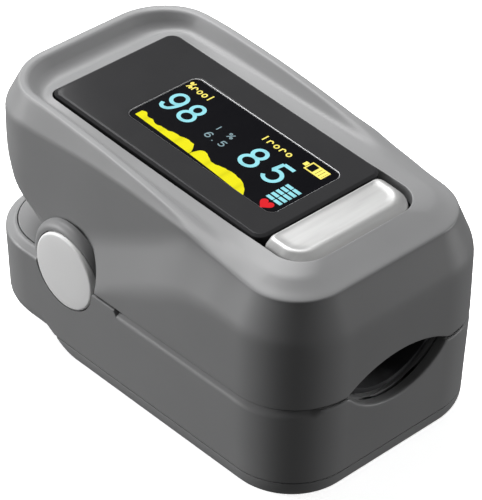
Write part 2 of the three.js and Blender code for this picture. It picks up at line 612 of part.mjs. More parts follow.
// One plate across both cells at the front.
function frontContact() {
  const y0 = front + WALL + CLEARANCE + 0.02;
  const plate = block([-cellX - 2.6, cellX + 2.6], [y0, y0 + 0.2],
    [ledgeTop + CONTACT_LEDGE_GAP, cellZ + 2.6]);
  return plate;
}

// A spring for the flat end of one cell, or a dimpled plate for the nub of the other.
function rearContact(side) {
  const x = side * cellX;
  const foot = REAR_FLOOR_HEIGHT + REAR_FLOOR_THICKNESS + CONTACT_FLOOR_GAP;
  const middle = foot + REAR_CONTACT_RISE;
  const plate = block([x - 2.3, x + 2.3], [contactRearY, contactRearY + CONTACT_THICKNESS],
    [foot, middle + 2.2]);
  if (side > 0) {
    const turns = 3;
    const path = new THREE.CatmullRomCurve3(Array.from({ length: turns * 10 + 1 }, (_, i) => {
      const turn = (i / 10) * 2 * Math.PI;
      const r = REAR_SPRING_RADIUS - 0.35 * (i / (turns * 10));
      const y = contactRearY + 0.1 - (i / (turns * 10)) * (REAR_CONTACT_ROOM - 0.55);
      return new THREE.Vector3(x + r * Math.cos(turn), y, middle + r * Math.sin(turn));
    }));
    return plate.add(swept(roundSection(CONTACT_WIRE, 5), path, turns * 10));
  }
  const dimple = new THREE.SphereGeometry(1.3, 16, 10).translate(x, contactRearY, middle);
  return plate.add(solid(dimple).intersect(block([-WIDTH, WIDTH], [front, contactRearY + 0.2], [0, HEIGHT])));
}

// ---------------------------------------------------------------- hinge

// A coil around the pin, with one leg in the tray and one inside the upper shell.
function torsionSpring(side) {
  const lowerAngle = -Math.PI / 2;
  const turn = lowerAngle - (springAngle + Math.PI / 2) + 2 * Math.PI * SPRING_TURNS;
  const points = [];
  const place = (offset, y, z) => new THREE.Vector3(
    side * (SPRING_FROM_MIDDLE + SPRING_WIRE + offset), hingeY + y, hingeZ + z);
  const coilStep = 2 * SPRING_WIRE * 1.12 / (2 * Math.PI);
  for (const part of [1, 0.66, 0.33]) {
    points.push(place(0, SPRING_LOWER_LEG * part, -SPRING_RADIUS));
  }
  const count = Math.round(turn / (Math.PI / 6));
  for (let i = 0; i <= count; i++) {
    const run = (i / count) * turn;
    const angle = lowerAngle - run;
    points.push(place(coilStep * run, SPRING_RADIUS * Math.cos(angle), SPRING_RADIUS * Math.sin(angle)));
  }
  const [cy, cz] = [Math.cos(springAngle), Math.sin(springAngle)];
  for (const part of [0.33, 0.66, 1]) {
    points.push(place(coilStep * turn,
      -SPRING_RADIUS * cz + SPRING_UPPER_LEG * part * cy,
      SPRING_RADIUS * cy + SPRING_UPPER_LEG * part * cz));
  }
  const path = new THREE.CatmullRomCurve3(points, false, 'centripetal');
  return swept(roundSection(SPRING_WIRE, 5), path, count + 10);
}

function hingeCap(side) {
  const body = bar('x', CAP_RADIUS, [hingeY, hingeZ], ...span(side, half - CAP_DEPTH, half - 0.25), 48);
  const crown = bar('x', CAP_RADIUS - 0.35, [hingeY, hingeZ], ...span(side, half - CAP_DEPTH, half), 48);
  return body.add(crown);
}

function hingePin() {
  const end = half - CAP_DEPTH - CAP_GAP - 0.2;
  return bar('x', HINGE_PIN_RADIUS, [hingeY, hingeZ], -end, end, 24);
}

// ---------------------------------------------------------------- finger sensor and ribbon

const padFloorZ = bedZ - BED_RADIUS;
const sensorChipZ = padFloorZ - PAD_THICKNESS - CHIP_HEIGHT - 0.15;
const flexLowZ = sensorChipZ - 0.3;
const emitterWindowZ = upperPadZ + MOUTH_TOP_RADIUS;
const emitterChipZ = emitterWindowZ + PAD_THICKNESS + 0.3;
const emitterBoardZ = emitterChipZ + CHIP_HEIGHT + CLEARANCE;

function photodiode() {
  const size = CHIP_SIZE / 2;
  const body = block([-size, size], [sensorY - size, sensorY + size],
    [sensorChipZ, sensorChipZ + CHIP_HEIGHT]);
  const well = block([-size + 0.5, size - 0.5], [sensorY - size + 0.5, sensorY + size - 0.5],
    [sensorChipZ + CHIP_HEIGHT - 0.2, HEIGHT]);
  return cut(body, well);
}

function windowTile(z0) {
  const outline = planOutline(SENSOR_WINDOW_WIDTH / 2, sensorY - SENSOR_WINDOW_LENGTH / 2,
    sensorY + SENSOR_WINDOW_LENGTH / 2, 1);
  return raised(outline, z0, z0 + PAD_THICKNESS - 0.1);
}

// The ribbon: under the bed, up behind the hinge pin, and forward to the board's connector.
function flexCable() {
  const upY = hingeY + FLEX_BEHIND_PIN;
  const endZ = boardUnderside(upY - 7) - 1.45;
  const t = FLEX_THICKNESS;
  const bend = 1.2;
  const outline = [];
  const corner = (cy, cz, from, to, r) => {
    for (let i = 0; i <= 4; i++) {
      const turn = from + (i / 4) * (to - from);
      outline.push([cy + r * Math.cos(turn), cz + r * Math.sin(turn)]);
    }
  };
  outline.push([sensorY - 1, flexLowZ - t / 2]);
  corner(upY - bend, flexLowZ - t / 2 + bend, -Math.PI / 2, 0, bend);
  corner(upY - bend, endZ - bend, 0, Math.PI / 2, bend);
  outline.push([upY - 7, endZ], [upY - 7, endZ - t]);
  corner(upY - bend, endZ - bend, Math.PI / 2, 0, bend - t);
  corner(upY - bend, flexLowZ - t / 2 + bend, 0, -Math.PI / 2, bend - t);
  outline.push([sensorY - 1, flexLowZ + t / 2]);
  return across(outline, -FLEX_WIDTH / 2, FLEX_WIDTH / 2);
}

// ---------------------------------------------------------------- upper half

// A block or outline in the tilted plane of the lens: local z is 0 at the lens top.
const onLens = (piece) => piece.rotate([(lensTilt * 180) / Math.PI, 0, 0])
  .translate([0, lensMiddle, lensTop(lensMiddle)]);
const boardUnderside = (y) => lensTop(y) - boardDrop - BOARD_THICKNESS;

function upperCase() {
  const outerForm = skirtForm(0, 0).add(bodyForm(0, 0));
  const innerForm = skirtForm(WALL, WALL).add(bodyForm(WALL, WALL));
  const reliefs = mirrored((side) => bar('x', EAR_RADIUS + EAR_RIM_GAP, [hingeY, hingeZ],
    ...span(side, recessHalf + 0.3, half + 1), 48));
  // Behind the middle of the ear nothing stands proud of the recessed side wall.
  const behindEar = mirrored((side) => block(span(side, recessHalf + 0.3, half + 1),
    [hingeY, rear], [0, SEAM_HEIGHT + EAR_RADIUS]));
  const outside = cut(outerForm, underWedge(0), ...reliefs, ...behindEar);

  const ceiling = onLens(block([-WIDTH, WIDTH], [-LENGTH, LENGTH],
    [-panelDrop - SEAT_THICKNESS + CLEARANCE, HEIGHT]));
  const nosePart = block([-WIDTH, WIDTH], [front, lensFront - 0.5], [0, HEIGHT]);
  const cavity = cut(innerForm, underWedge(WALL * 1.13), cut(ceiling, nosePart));

  const floorHalf = LENS_WIDTH / 2 + RIM_FLOOR_MARGIN;
  const floorFront = -LENS_LENGTH / 2 + RIM_FRONT_STOP;
  const floorRear = LENS_LENGTH / 2 + RIM_FLOOR_MARGIN;
  const rise = RIM_HOLLOW_TOP + LENS_PROUD;
  const rimHollow = onLens(hull([
    ...ring(floorHalf, floorFront, floorRear, LENS_CORNER, level(-LENS_PROUD)),
    ...ring(floorHalf + rise * RIM_INNER_LEAN, floorFront - rise, floorRear + rise * RIM_REAR_LEAN,
      6, level(RIM_HOLLOW_TOP)),
  ]));
  const seat = onLens(raised(planOutline(LENS_WIDTH / 2 + LENS_GAP, -LENS_LENGTH / 2 - LENS_GAP,
    LENS_LENGTH / 2 + LENS_GAP, LENS_CORNER), -LENS_THICKNESS - 0.1, 4));
  const opening = onLens(raised(planOutline(LENS_WIDTH / 2 - SEAT_LEDGE,
    -LENS_LENGTH / 2 + SEAT_LEDGE, LENS_LENGTH / 2 - SEAT_LEDGE, 1), -8, 1));
  // The button's hole runs on under the front edge of the lens.
  const buttonHole = raised(planOutline(BUTTON_WIDTH / 2 + LENS_GAP, buttonFront - LENS_GAP,
    lensFront + 0.5, BUTTON_CORNER + LENS_GAP, 0.2), buttonBottom - 2, HEIGHT + 1);

  const mouth = rounded(MOUTH_TOP_RADIUS, [0, mouthTopZ], front - 1, front + WALL + 0.6, 96);
  const lugs = mirrored((side) => bar('x', LUG_RADIUS, [hingeY, hingeZ],
    ...span(side, lugInner, lugOuter), 32));
  const bosses = Object.values(upperScrews).map((at) => bar('z', BOSS_RADIUS, at,
    upperBottom + frameFlat + CLEARANCE, lensTop(at[1]) - LENS_THICKNESS - 0.8, 16));
  // The springs push up on this rib, which hangs from the rear ledge of the lens seat.
  const rib = block([-springOuter, springOuter], [lensRear - SEAT_LEDGE, lensRear],
    [springTipZ + SPRING_WIRE + SPRING_GAP, lensTop(lensRear) - LENS_THICKNESS - 0.4]);
  const springSlot = block([-springOuter, springOuter], [hingeY - springReach, hingeY + springReach + 0.4],
    [0, hingeZ + springReach + 0.6]);
  const holes = Object.values(upperScrews).map((at) => bar('z', SCREW_RADIUS + SCREW_HOLE_CLEARANCE, at,
    0, upperScrewHead + SCREW_LENGTH + 0.5, 16));
  const pinBore = bar('x', HINGE_PIN_RADIUS + HINGE_BORE_CLEARANCE, [hingeY, hingeZ], -half, half, 24);
  const shell = cut(outside, cavity, rimHollow, seat, opening, buttonHole, mouth, springSlot);
  return cut(join([shell, ...lugs, ...bosses, rib]), ...holes, pinBore);
}

function displayLens() {
  const bevel = 0.25;
  const outline = planOutline(LENS_WIDTH / 2 - bevel, -LENS_LENGTH / 2 + bevel,
    LENS_LENGTH / 2 - bevel, LENS_CORNER - bevel);
  const geometry = new THREE.ExtrudeGeometry(outline, {
    depth: LENS_THICKNESS - 2 * bevel, bevelEnabled: true, bevelSize: bevel,
    bevelThickness: bevel, bevelSegments: 1, curveSegments: 4,
  });
  return onLens(solid(geometry.translate(0, 0, bevel - LENS_THICKNESS)));
}

function oledPanel() {
  const margin = SEAT_LEDGE + CLEARANCE;
  return onLens(block([-LENS_WIDTH / 2 + margin, LENS_WIDTH / 2 - margin],
    [-LENS_LENGTH / 2 + margin + 1, LENS_LENGTH / 2 - margin - 1],
    [-panelDrop - PANEL_THICKNESS, -panelDrop]));
}

function mainBoard() {
  const outline = planOutline(BOARD_WIDTH / 2, boardFront - lensMiddle, boardRear - lensMiddle, 1);
  return onLens(raised(outline, -boardDrop - BOARD_THICKNESS, -boardDrop));
}

// A chip under the board, centred on (x, y) in the plane of the lens.
function underBoard([x, y], [wide, long, high]) {
  const top = -boardDrop - BOARD_THICKNESS - 0.1;
  const body = block([x - wide / 2, x + wide / 2], [y - long / 2, y + long / 2], [top - high, top]);
  const mark = bar('z', 0.35, [x - wide / 2 + 0.9, y - long / 2 + 0.9],
    top - high - 0.1, top - high + 0.15, 12);
  return onLens(cut(body, mark));
}

const buttonTop = (y) => lensTop(y) - BUTTON_SUNK;
const buttonBottom = buttonTop(buttonMiddle) - BUTTON_HEIGHT;

function buttonOutline(grow) {
  const outline = planOutline(BUTTON_WIDTH / 2 + grow, buttonFront - grow, buttonRear + grow / 2,
    BUTTON_CORNER + grow, 0.9);
  return outline;
}

function powerButton() {
  const z0 = buttonBottom;
  const flat = buttonTop(buttonMiddle);
  const crown = 0.5;
  const points = buttonOutline(0).getPoints(5);
  const shrink = (p, by) => [
    p.x * (1 - (2 * by) / BUTTON_WIDTH),
    buttonMiddle + (p.y - buttonMiddle) * (1 - (2 * by) / BUTTON_LENGTH),
  ];
  const top = hull([
    ...points.map((p) => new THREE.Vector3(p.x, p.y, z0)),
    ...points.map((p) => new THREE.Vector3(p.x, p.y, flat - crown)),
    ...points.map((p) => new THREE.Vector3(...shrink(p, crown), flat)),
  ]);
  const flange = block([-BUTTON_WIDTH / 2 - BUTTON_FLANGE, BUTTON_WIDTH / 2 + BUTTON_FLANGE],
    [buttonMiddle - 1.6, buttonMiddle + 2.4], [z0 - BUTTON_FLANGE_THICKNESS, z0 + 0.01]);
  return join([top, flange]);
}

// The switch stands on the board; its nub stops short of the button by the button's travel.
function tactSwitch() {
  const y = buttonMiddle - lensMiddle;
  const s = SWITCH_SIZE / 2;
  const foot = -boardDrop + 0.1;
  const nubTop = -(BUTTON_SUNK + BUTTON_HEIGHT + BUTTON_FLANGE_THICKNESS + BUTTON_TRAVEL + SWITCH_REST_GAP);
  const body = block([-s, s], [y - s, y + s], [foot, foot + SWITCH_BODY]);
  const nub = bar('z', 1.0, [0, y], foot + SWITCH_BODY - 0.3, nubTop, 20);
  return onLens(join([body, nub]));
}

function upperFrame() {
  const inset = WALL + CLEARANCE;
  const slab = block([-WIDTH, WIDTH], [front, hingeY - springReach - 0.2],
    [upperBottom, upperBottom + frameFlat]);
  const inside = skirtForm(inset, inset).add(bodyForm(inset, inset));
  const roof = upperPadZ + upperPadOuter + PAD_GAP + 1.0;
  const archHalf = BED_RADIUS + 1.9;
  const arch = rounded(upperPadOuter + PAD_GAP + 1.0, [0, upperPadZ], front + inset,
    stopY + PAD_THICKNESS + PAD_GAP + 1.0, 96)
    .intersect(block([-archHalf, archHalf], [front, rear], [upperBottom, roof + 1]));
  const channel = rounded(upperPadOuter + PAD_GAP, [0, upperPadZ], front - 1,
    stopY + PAD_THICKNESS + PAD_GAP, 96)
    .intersect(block([-BED_RADIUS - 0.6, BED_RADIUS + 0.6], [front - 1, rear], [0, roof]));
  const walls = mirrored((side) => block(span(side, BED_RADIUS + 0.6, archHalf),
    [front + inset, stopY + PAD_THICKNESS + PAD_GAP + 1.0], [upperBottom, upperBottom + 2.4]));
  const s = CHIP_SIZE / 2 + 0.4;
  const port = block([-s, s], [sensorY - s, sensorY + s], [0, HEIGHT]);
  const mouth = rounded(MOUTH_TOP_RADIUS, [0, mouthTopZ], front - 1, front + WALL + 1.2, 96);
  const screws = Object.values(upperScrews).map((at) => screwRoom(at, upperScrewHead, HEIGHT));
  const bossRoom = Object.values(upperScrews).map((at) => bar('z', BOSS_RADIUS + CLEARANCE, at,
    upperBottom + frameFlat, HEIGHT, 16));
  return cut(join([slab, arch, ...walls]).intersect(inside), channel, port, mouth, ...screws, ...bossRoom);
}

function upperPad() {
  const y0 = front + WALL + CLEARANCE + 0.3;
  const outer = rounded(upperPadOuter, [0, upperPadZ], y0, stopY + PAD_THICKNESS, 96);
  const inner = rounded(MOUTH_TOP_RADIUS, [0, upperPadZ], y0 - 1, stopY, 96);
  const keep = block([-BED_RADIUS - 0.45, BED_RADIUS + 0.45], [front, rear],
    [upperBottom, upperBottom + 2 * MOUTH_TOP]);
  const opening = block([-SENSOR_WINDOW_WIDTH / 2 - CLEARANCE, SENSOR_WINDOW_WIDTH / 2 + CLEARANCE],
    [sensorY - SENSOR_WINDOW_LENGTH / 2 - CLEARANCE, sensorY + SENSOR_WINDOW_LENGTH / 2 + CLEARANCE],
    [0, HEIGHT]);
  return cut(cut(outer, inner).intersect(keep), opening);
}

function ledEmitter() {
  const s = CHIP_SIZE / 2;
  const body = block([-s, s], [sensorY - s, sensorY + s], [emitterChipZ, emitterChipZ + CHIP_HEIGHT]);
  const dies = mirrored((side) => bar('z', 0.45, [side * 0.65, sensorY],
    emitterChipZ - 1, emitterChipZ + 0.2, 12));
  return cut(body, ...dies);
}

function emitterBoard() {
  const outline = planOutline(4.5, sensorY - 4, sensorY + 4, 0.8);
  return raised(outline, emitterBoardZ, emitterBoardZ + 0.6);
}

// ---------------------------------------------------------------- the assembly

const finish = (color, roughness, metalness = 0) => new THREE.MeshStandardMaterial({
  color, roughness, metalness,
});
const CASE = () => finish(0x8a8a8a, 0.5);
const DOOR = () => finish(0x868686, 0.52);
const FRAME = () => finish(0x868686, 0.6);
const SILICONE = () => finish(0x4b4b4d, 0.75);
const STEEL = () => finish(0xb4b6b8, 0.3, 1);
const CAP = () => finish(0xcdcdcd, 0.4);
const PEARL = () => finish(0xe2e2e0, 0.35, 0.2);
const GLOSS = () => finish(0x101012, 0.08);
const GLASS = () => finish(0x0a0c10, 0.1);
const CLEAR = () => finish(0xd8dde0, 0.05);
const BOARD = () => finish(0x1d5a35, 0.5);
const CHIP = () => finish(0x1b1b1d, 0.6);
const CELL = () => finish(0x3c5a76, 0.4, 0.3);
const RIBBON = () => finish(0xb0702c, 0.45);

const part = new THREE.Group();

function add(name, piece, material) {
  const mesh = new THREE.Mesh(geometryOf(piece), material);
  mesh.name = name;
  part.add(mesh);
}

add('lower_case', join([lowerCase(), ...hookCatches()]), CASE());
add('battery_door', batteryDoor(), DOOR());
add('lower_frame', lowerFrame(), FRAME());
add('lower_finger_pad', lowerPad(), SILICONE());
add('battery_left', cell(-1), CELL());
add('battery_right', cell(1), CELL());
add('contact_front', frontContact(), STEEL());
add('contact_rear_left', rearContact(-1), STEEL());
add('contact_rear_right', rearContact(1), STEEL());
add('photodiode', photodiode(), CHIP());
add('sensor_window', windowTile(padFloorZ - PAD_THICKNESS + 0.05), CLEAR());
add('flex_cable', flexCable(), RIBBON());
add('hinge_pin', hingePin(), STEEL());
add('torsion_spring_left', torsionSpring(-1), STEEL());
add('torsion_spring_right', torsionSpring(1), STEEL());
add('hinge_cap_left', hingeCap(-1), CAP());
add('hinge_cap_right', hingeCap(1), CAP());
for (const [place, { at, headZ }] of Object.entries(lowerScrews)) {
  add('lower_screw_' + place, screwSolid(at, headZ), STEEL());
}

add('upper_case', upperCase(), CASE());
add('display_lens', displayLens(), GLOSS());
add('oled_panel', oledPanel(), GLASS());
add('main_board', mainBoard(), BOARD());
add('mcu_chip', underBoard([-3.8, -5.5], [7, 7, 1]), CHIP());
add('frontend_chip', underBoard([5, -4.5], [5, 5, 0.9]), CHIP());
add('crystal', underBoard([5.2, -11.5], [3.2, 5, 1.1]), STEEL());
add('flex_connector', underBoard([0, hingeY + FLEX_BEHIND_PIN - 6.2 - lensMiddle], [5, 3, 1.05]), SILICONE());
add('tact_switch', tactSwitch(), STEEL());
add('power_button', powerButton(), PEARL());
add('upper_frame', upperFrame(), FRAME());
add('upper_finger_pad', upperPad(), SILICONE());
add('emitter_window', windowTile(emitterWindowZ + 0.05), CLEAR());
add('led_emitter', ledEmitter(), CLEAR());
add('emitter_board', emitterBoard(), BOARD());
for (const [place, at] of Object.entries(upperScrews)) {
  add('upper_screw_' + place, screwSolid(at, upperScrewHead), STEEL());
}

export default part;
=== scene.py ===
# %% [markdown]
# # A fingertip pulse oximeter
# The CAD model gives every solid, size and joint. Here the two shells, the display, the button
# and the other pieces that the eye lands on are made again as fine surfaces in the same places,
# and every solid that stays gets a finish of its own. The first cell loads the model as it is.

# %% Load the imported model
import json
from math import atan, cos, pi, radians, sin

import bmesh
import bpy
import numpy as np
from mathutils import Matrix, Vector


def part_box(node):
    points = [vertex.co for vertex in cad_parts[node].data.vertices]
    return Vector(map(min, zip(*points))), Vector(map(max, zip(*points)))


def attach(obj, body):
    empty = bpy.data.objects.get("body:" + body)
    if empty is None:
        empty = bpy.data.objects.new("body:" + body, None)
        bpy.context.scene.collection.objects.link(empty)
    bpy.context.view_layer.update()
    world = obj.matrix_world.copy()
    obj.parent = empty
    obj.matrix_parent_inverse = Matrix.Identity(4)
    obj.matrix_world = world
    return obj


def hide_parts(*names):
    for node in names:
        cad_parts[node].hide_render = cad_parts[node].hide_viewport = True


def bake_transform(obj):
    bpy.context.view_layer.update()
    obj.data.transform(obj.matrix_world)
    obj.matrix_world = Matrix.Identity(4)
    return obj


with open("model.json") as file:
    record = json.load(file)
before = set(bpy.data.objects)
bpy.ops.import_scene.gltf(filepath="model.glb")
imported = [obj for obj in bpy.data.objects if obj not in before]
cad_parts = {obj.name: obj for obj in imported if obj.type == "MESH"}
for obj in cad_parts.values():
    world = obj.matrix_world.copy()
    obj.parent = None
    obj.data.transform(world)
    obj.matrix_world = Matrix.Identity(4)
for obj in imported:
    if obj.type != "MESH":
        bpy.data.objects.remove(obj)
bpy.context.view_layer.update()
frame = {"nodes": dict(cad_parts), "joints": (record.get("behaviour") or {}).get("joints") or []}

# %% [markdown]
# Sizes are easier to think about in millimetres, so the shapes are worked out in millimetres and
# turned into metres when a mesh is made. The places come from the boxes of the solids.

# %% Measure the frame
MM = 0.001


def corners(node):
    """The lowest and the highest corner of a CAD solid, in millimetres."""
    low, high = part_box(node)
    return np.array(low) / MM, np.array(high) / MM


upper_low, upper_high = corners("upper_case")
lens_low, lens_high = corners("display_lens")
button_low, button_high = corners("power_button")
door_high = corners("battery_door")[1]
HALF = upper_high[0]
FRONT, REAR = upper_low[1], upper_high[1]
LOWER_REAR = corners("lower_case")[1][1]
HINGE_Y, HINGE_Z = (np.array(frame["joints"][0]["pos_m"]) / MM)[1:]
SEAM = HINGE_Z - 0.2
SEAM_GAP = 0.3
CORNER = 9.8
WALL = 1.5
RECESS = 2.2
LENS_SLOPE = 0.047
LENS_HALF = lens_high[0]
LENS_FRONT, LENS_REAR = lens_low[1] + 0.3, lens_high[1] + 0.8
TOP_SHIFT = np.array([-0.25, 0.0])


def lens_top(y):
    """Height of the lens over the table: a plane that falls towards the finger mouth."""
    return lens_high[2] - LENS_SLOPE * (lens_high[1] - y)


print("outline", 2 * HALF, "x", REAR - FRONT, "mm, hinge at", HINGE_Y, HINGE_Z)

# %% [markdown]
# ## Surfaces from rings
# Both shells, the door, the lens and the button are mouldings whose cross-section is carried
# round a rectangle with round corners. So each is described by a few rings, which run round the
# piece along its edges and creases. Every ring has the same number of points, in the same order,
# and a skin is stretched over them. A subdivision surface could do this too, but it shrinks away
# from the sizes it is given, and rings keep them.

# %% A rounded rectangle with a fixed number of points
SIDE_COUNT, END_COUNT, CORNER_COUNT = 110, 44, 20


def loop(half_width, front, rear, front_radius, rear_radius):
    """Points and outward normals of a rectangle with round corners, as two arrays (count, 2).
    Each side is a straight line shared out evenly, and each corner is centre + radius * (cos, sin)
    over a quarter turn. The points run from the front end of the right side, anticlockwise."""
    parts, ways = [], []

    def straight(a, b, count, way):
        t = np.linspace(0, 1, count, endpoint=False)[:, None]
        parts.append(np.array(a) * (1 - t) + np.array(b) * t)
        ways.append(np.repeat([way], count, axis=0))

    def corner(centre, radius, start):
        turn = start + np.linspace(0, pi / 2, CORNER_COUNT, endpoint=False)
        way = np.stack([np.cos(turn), np.sin(turn)], axis=1)
        parts.append(np.array(centre) + radius * way)
        ways.append(way)

    w, rf, rr = half_width, front_radius, rear_radius
    straight((w, front + rf), (w, rear - rr), SIDE_COUNT, (1, 0))
    corner((w - rr, rear - rr), rr, 0)
    straight((w - rr, rear), (rr - w, rear), END_COUNT, (0, 1))
    corner((rr - w, rear - rr), rr, pi / 2)
    straight((-w, rear - rr), (-w, front + rf), SIDE_COUNT, (-1, 0))
    corner((rf - w, front + rf), rf, pi)
    straight((rf - w, front), (w - rf, front), END_COUNT, (0, -1))
    corner((w - rf, front + rf), rf, 1.5 * pi)
    return np.concatenate(parts), np.concatenate(ways)


COUNT = 2 * (SIDE_COUNT + END_COUNT) + 4 * CORNER_COUNT
print(COUNT, "points on every ring")

# %% A smooth line through a few stops
def along(place, *stops):
    """A value that runs smoothly through (place, value) stops. Between two stops it is a cubic
    whose end slopes are the harmonic mean of the neighbouring chords, so it never overshoots."""
    at, value = np.array(sorted(stops), float).T
    step = np.diff(at)
    chord = np.diff(value) / step
    same = chord[1:] * chord[:-1] > 0
    total = np.where(same, chord[1:] + chord[:-1], 1)
    inner = np.where(same, 2 * chord[1:] * chord[:-1] / total, 0)
    slope = np.concatenate([chord[:1], inner, chord[-1:]])
    i = np.clip(np.searchsorted(at, place) - 1, 0, len(step) - 1)
    t = np.clip((place - at[i]) / step[i], 0, 1)
    h = step[i]
    return ((1 + 2 * t) * (1 - t) ** 2 * value[i] + t * (1 - t) ** 2 * h * slope[i]
            + t ** 2 * (3 - 2 * t) * value[i + 1] + t ** 2 * (t - 1) * h * slope[i + 1])


def ring(xy, z):
    """A ring of points (count, 3) from plan points and a height, which may vary round the ring."""
    return np.column_stack([xy, np.broadcast_to(z, len(xy))])


# %% Rings to rows: every ring becomes a rounded edge
STRAIGHT, LONGEST_REACH = (0.08, 0.5, 0.92), 0.45


def rows_of(rings, closed=True, steps=5):
    """Rows of points that follow the rings, with each ring's edge rounded. A ring comes with its
    reach: the surface leaves the straight line that far before the ring and joins the next line
    that far after it, on the quadratic curve (1-t)^2 a + 2t(1-t) ring + t^2 b. A reach is at most
    45% of the way to the next ring. Three rows divide each straight stretch."""
    count = len(rings)
    rows, ends = [], []
    for j, (here, reach) in enumerate(rings):
        if not closed and j in (0, count - 1):
            ends.append((here, here, [here]))
            continue
        sides = []
        for other, _ in (rings[j - 1], rings[(j + 1) % count]):
            away = other - here
            length = np.maximum(np.linalg.norm(away, axis=1), 1e-9)
            share = np.minimum(reach / length, LONGEST_REACH)
            sides.append(here + away * share[:, None])
        a, b = sides
        curve = [(1 - t) ** 2 * a + 2 * t * (1 - t) * here + t ** 2 * b
                 for t in np.linspace(0, 1, steps + 1)]
        ends.append((a, b, curve))
    for j, (_, b, curve) in enumerate(ends):
        rows += curve
        if closed or j < count - 1:
            a = ends[(j + 1) % count][0]
            rows += [b + (a - b) * t for t in STRAIGHT]
    return np.stack(rows)


# %% Rows to a mesh
def mesh_from(name, points, faces):
    """A piece from points in millimetres and faces of point numbers, with its faces outwards."""
    mesh = bpy.data.meshes.new(name)
    mesh.from_pydata((np.asarray(points) * MM).tolist(), [], [list(f) for f in faces])
    made = bmesh.new()
    made.from_mesh(mesh)
    bmesh.ops.remove_doubles(made, verts=made.verts, dist=1e-7)
    bmesh.ops.dissolve_degenerate(made, edges=made.edges, dist=1e-8)
    bmesh.ops.recalc_face_normals(made, faces=made.faces)
    made.to_mesh(mesh)
    made.free()
    piece = bpy.data.objects.new(name, mesh)
    bpy.context.scene.collection.objects.link(piece)
    return piece


def grid_faces(rows, count, wrap_rows, wrap_count=True):
    """Quads between neighbouring rows and points, as an array of point numbers."""
    i = np.arange(rows if wrap_rows else rows - 1)
    j = np.arange(count if wrap_count else count - 1)
    i, j = np.meshgrid(i, j, indexing="ij")
    i2, j2 = (i + 1) % rows, (j + 1) % count
    corner = [i * count + j, i * count + j2, i2 * count + j2, i2 * count + j]
    return np.stack([c.ravel() for c in corner], axis=1)


def skin(name, rows, closed=True, caps=False):
    """A mesh over rows of points: closed joins the last row to the first, and caps fills the
    first and the last row with a fan to their middle."""
    count, width = rows.shape[:2]
    points = rows.reshape(-1, 3)
    faces = grid_faces(count, width, closed).tolist()
    if caps:
        points = np.vstack([points, rows[0].mean(0), rows[-1].mean(0)])
        for row, middle in ((0, count * width), (count - 1, count * width + 1)):
            first = row * width
            faces += [(first + k, first + (k + 1) % width, middle) for k in range(width)]
    return mesh_from(name, points, faces)


# %% [markdown]
# ## Joining and cutting
# Round holes, the ears of the hinge and the finger grips don't follow the rings, so they are cut
# or joined afterwards. The Manifold solver is exact on closed meshes and takes a moment. The tools
# are closed meshes as well, and are removed once they have been used.

# %% Cutting tools
def carve(piece, *tools, join=False):
    """Cuts the tools out of a piece, or joins them to it, and removes them."""
    for tool in tools:
        change = piece.modifiers.new("carve", "BOOLEAN")
        change.operation = "UNION" if join else "DIFFERENCE"
        change.solver = "MANIFOLD"
        change.object = tool
        ready = piece.evaluated_get(bpy.context.evaluated_depsgraph_get())
        result = bpy.data.meshes.new_from_object(ready)
        piece.modifiers.clear()
        old, piece.data = piece.data, result
        result.name = piece.name
        bpy.data.meshes.remove(old)
        bpy.data.objects.remove(tool)
    return piece


def lathe(name, profile, axis, at, sides=96):
    """A turned piece: profile holds (radius, place on the axis) pairs, and the ring of each is
    radius * (cos, sin) round the axis. The first and last pairs are closed with a fan."""
    turn = np.linspace(0, 2 * pi, sides, endpoint=False)
    order = {"x": (2, 0, 1), "y": (1, 2, 0), "z": (0, 1, 2)}[axis]
    rows = []
    for radius, place in profile:
        on_axis = np.full(sides, place)
        flat = np.column_stack([radius * np.cos(turn), radius * np.sin(turn), on_axis])
        rows.append(flat[:, order] + np.array(at))
    return skin(name, np.stack(rows), closed=False, caps=True)


def brick(name, low, high):
    """A plain block between two corners, used as a cutting tool."""
    x, y, z = np.meshgrid(*[(a, b) for a, b in zip(low, high)], indexing="ij")
    points = np.stack([x.ravel(), y.ravel(), z.ravel()], axis=1)
    faces = [(0, 1, 3, 2), (4, 6, 7, 5), (0, 4, 5, 1), (2, 3, 7, 6), (0, 2, 6, 4), (1, 5, 7, 3)]
    return mesh_from(name, points, faces)


def smooth(piece, angle=30):
    """Smooth shading with creases sharper than the angle kept, and normals led by large faces."""
    piece.data.shade_smooth()
    piece.data.set_sharp_from_angle(angle=radians(angle))
    even = piece.modifiers.new("even normals", "WEIGHTED_NORMAL")
    even.keep_sharp = True
    even.weight = 60
    return piece


def place(piece, body, slot, *nodes, material=None):
    """Puts a finished piece on its body, in place of CAD nodes, with its material. slot is not
    used.
    """
    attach(piece, body)
    if nodes:
        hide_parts(*nodes)
    if material:
        piece.data.materials.clear()
        piece.data.materials.append(material)
    triangles = sum(len(p.vertices) - 2 for p in piece.data.polygons)
    print(f"{piece.name}: {triangles} triangles on {body}")
    return piece


# %% [markdown]
# ## Shader maths
# A material here is a short expression. `Value` wraps a number socket and lets Python's operators
# add the Math nodes, and `Finish` makes any other node from its type, settings and inputs. Base
# colour, roughness and bump may vary over a surface; everything else is one number, set on the
# shader itself, so that an export can read it.

# %% Two small classes for shaders
class Value:
    """A number socket that can be added, subtracted and multiplied, from either side."""

    def __init__(self, finish, socket):
        self.finish, self.socket = finish, socket

    def maths(self, operation, a, b=None):
        inputs = {0: a} if b is None else {0: a, 1: b}
        return Value(self.finish, self.finish.node("Math", {"operation": operation}, inputs))

    def __abs__(self):
        return self.maths("ABSOLUTE", self)


def operator(operation, turned=False):
    """A method that adds the Math node, with its two values the other way round when turned."""
    def add_node(self, other):
        return self.maths(operation, *((other, self) if turned else (self, other)))
    return add_node


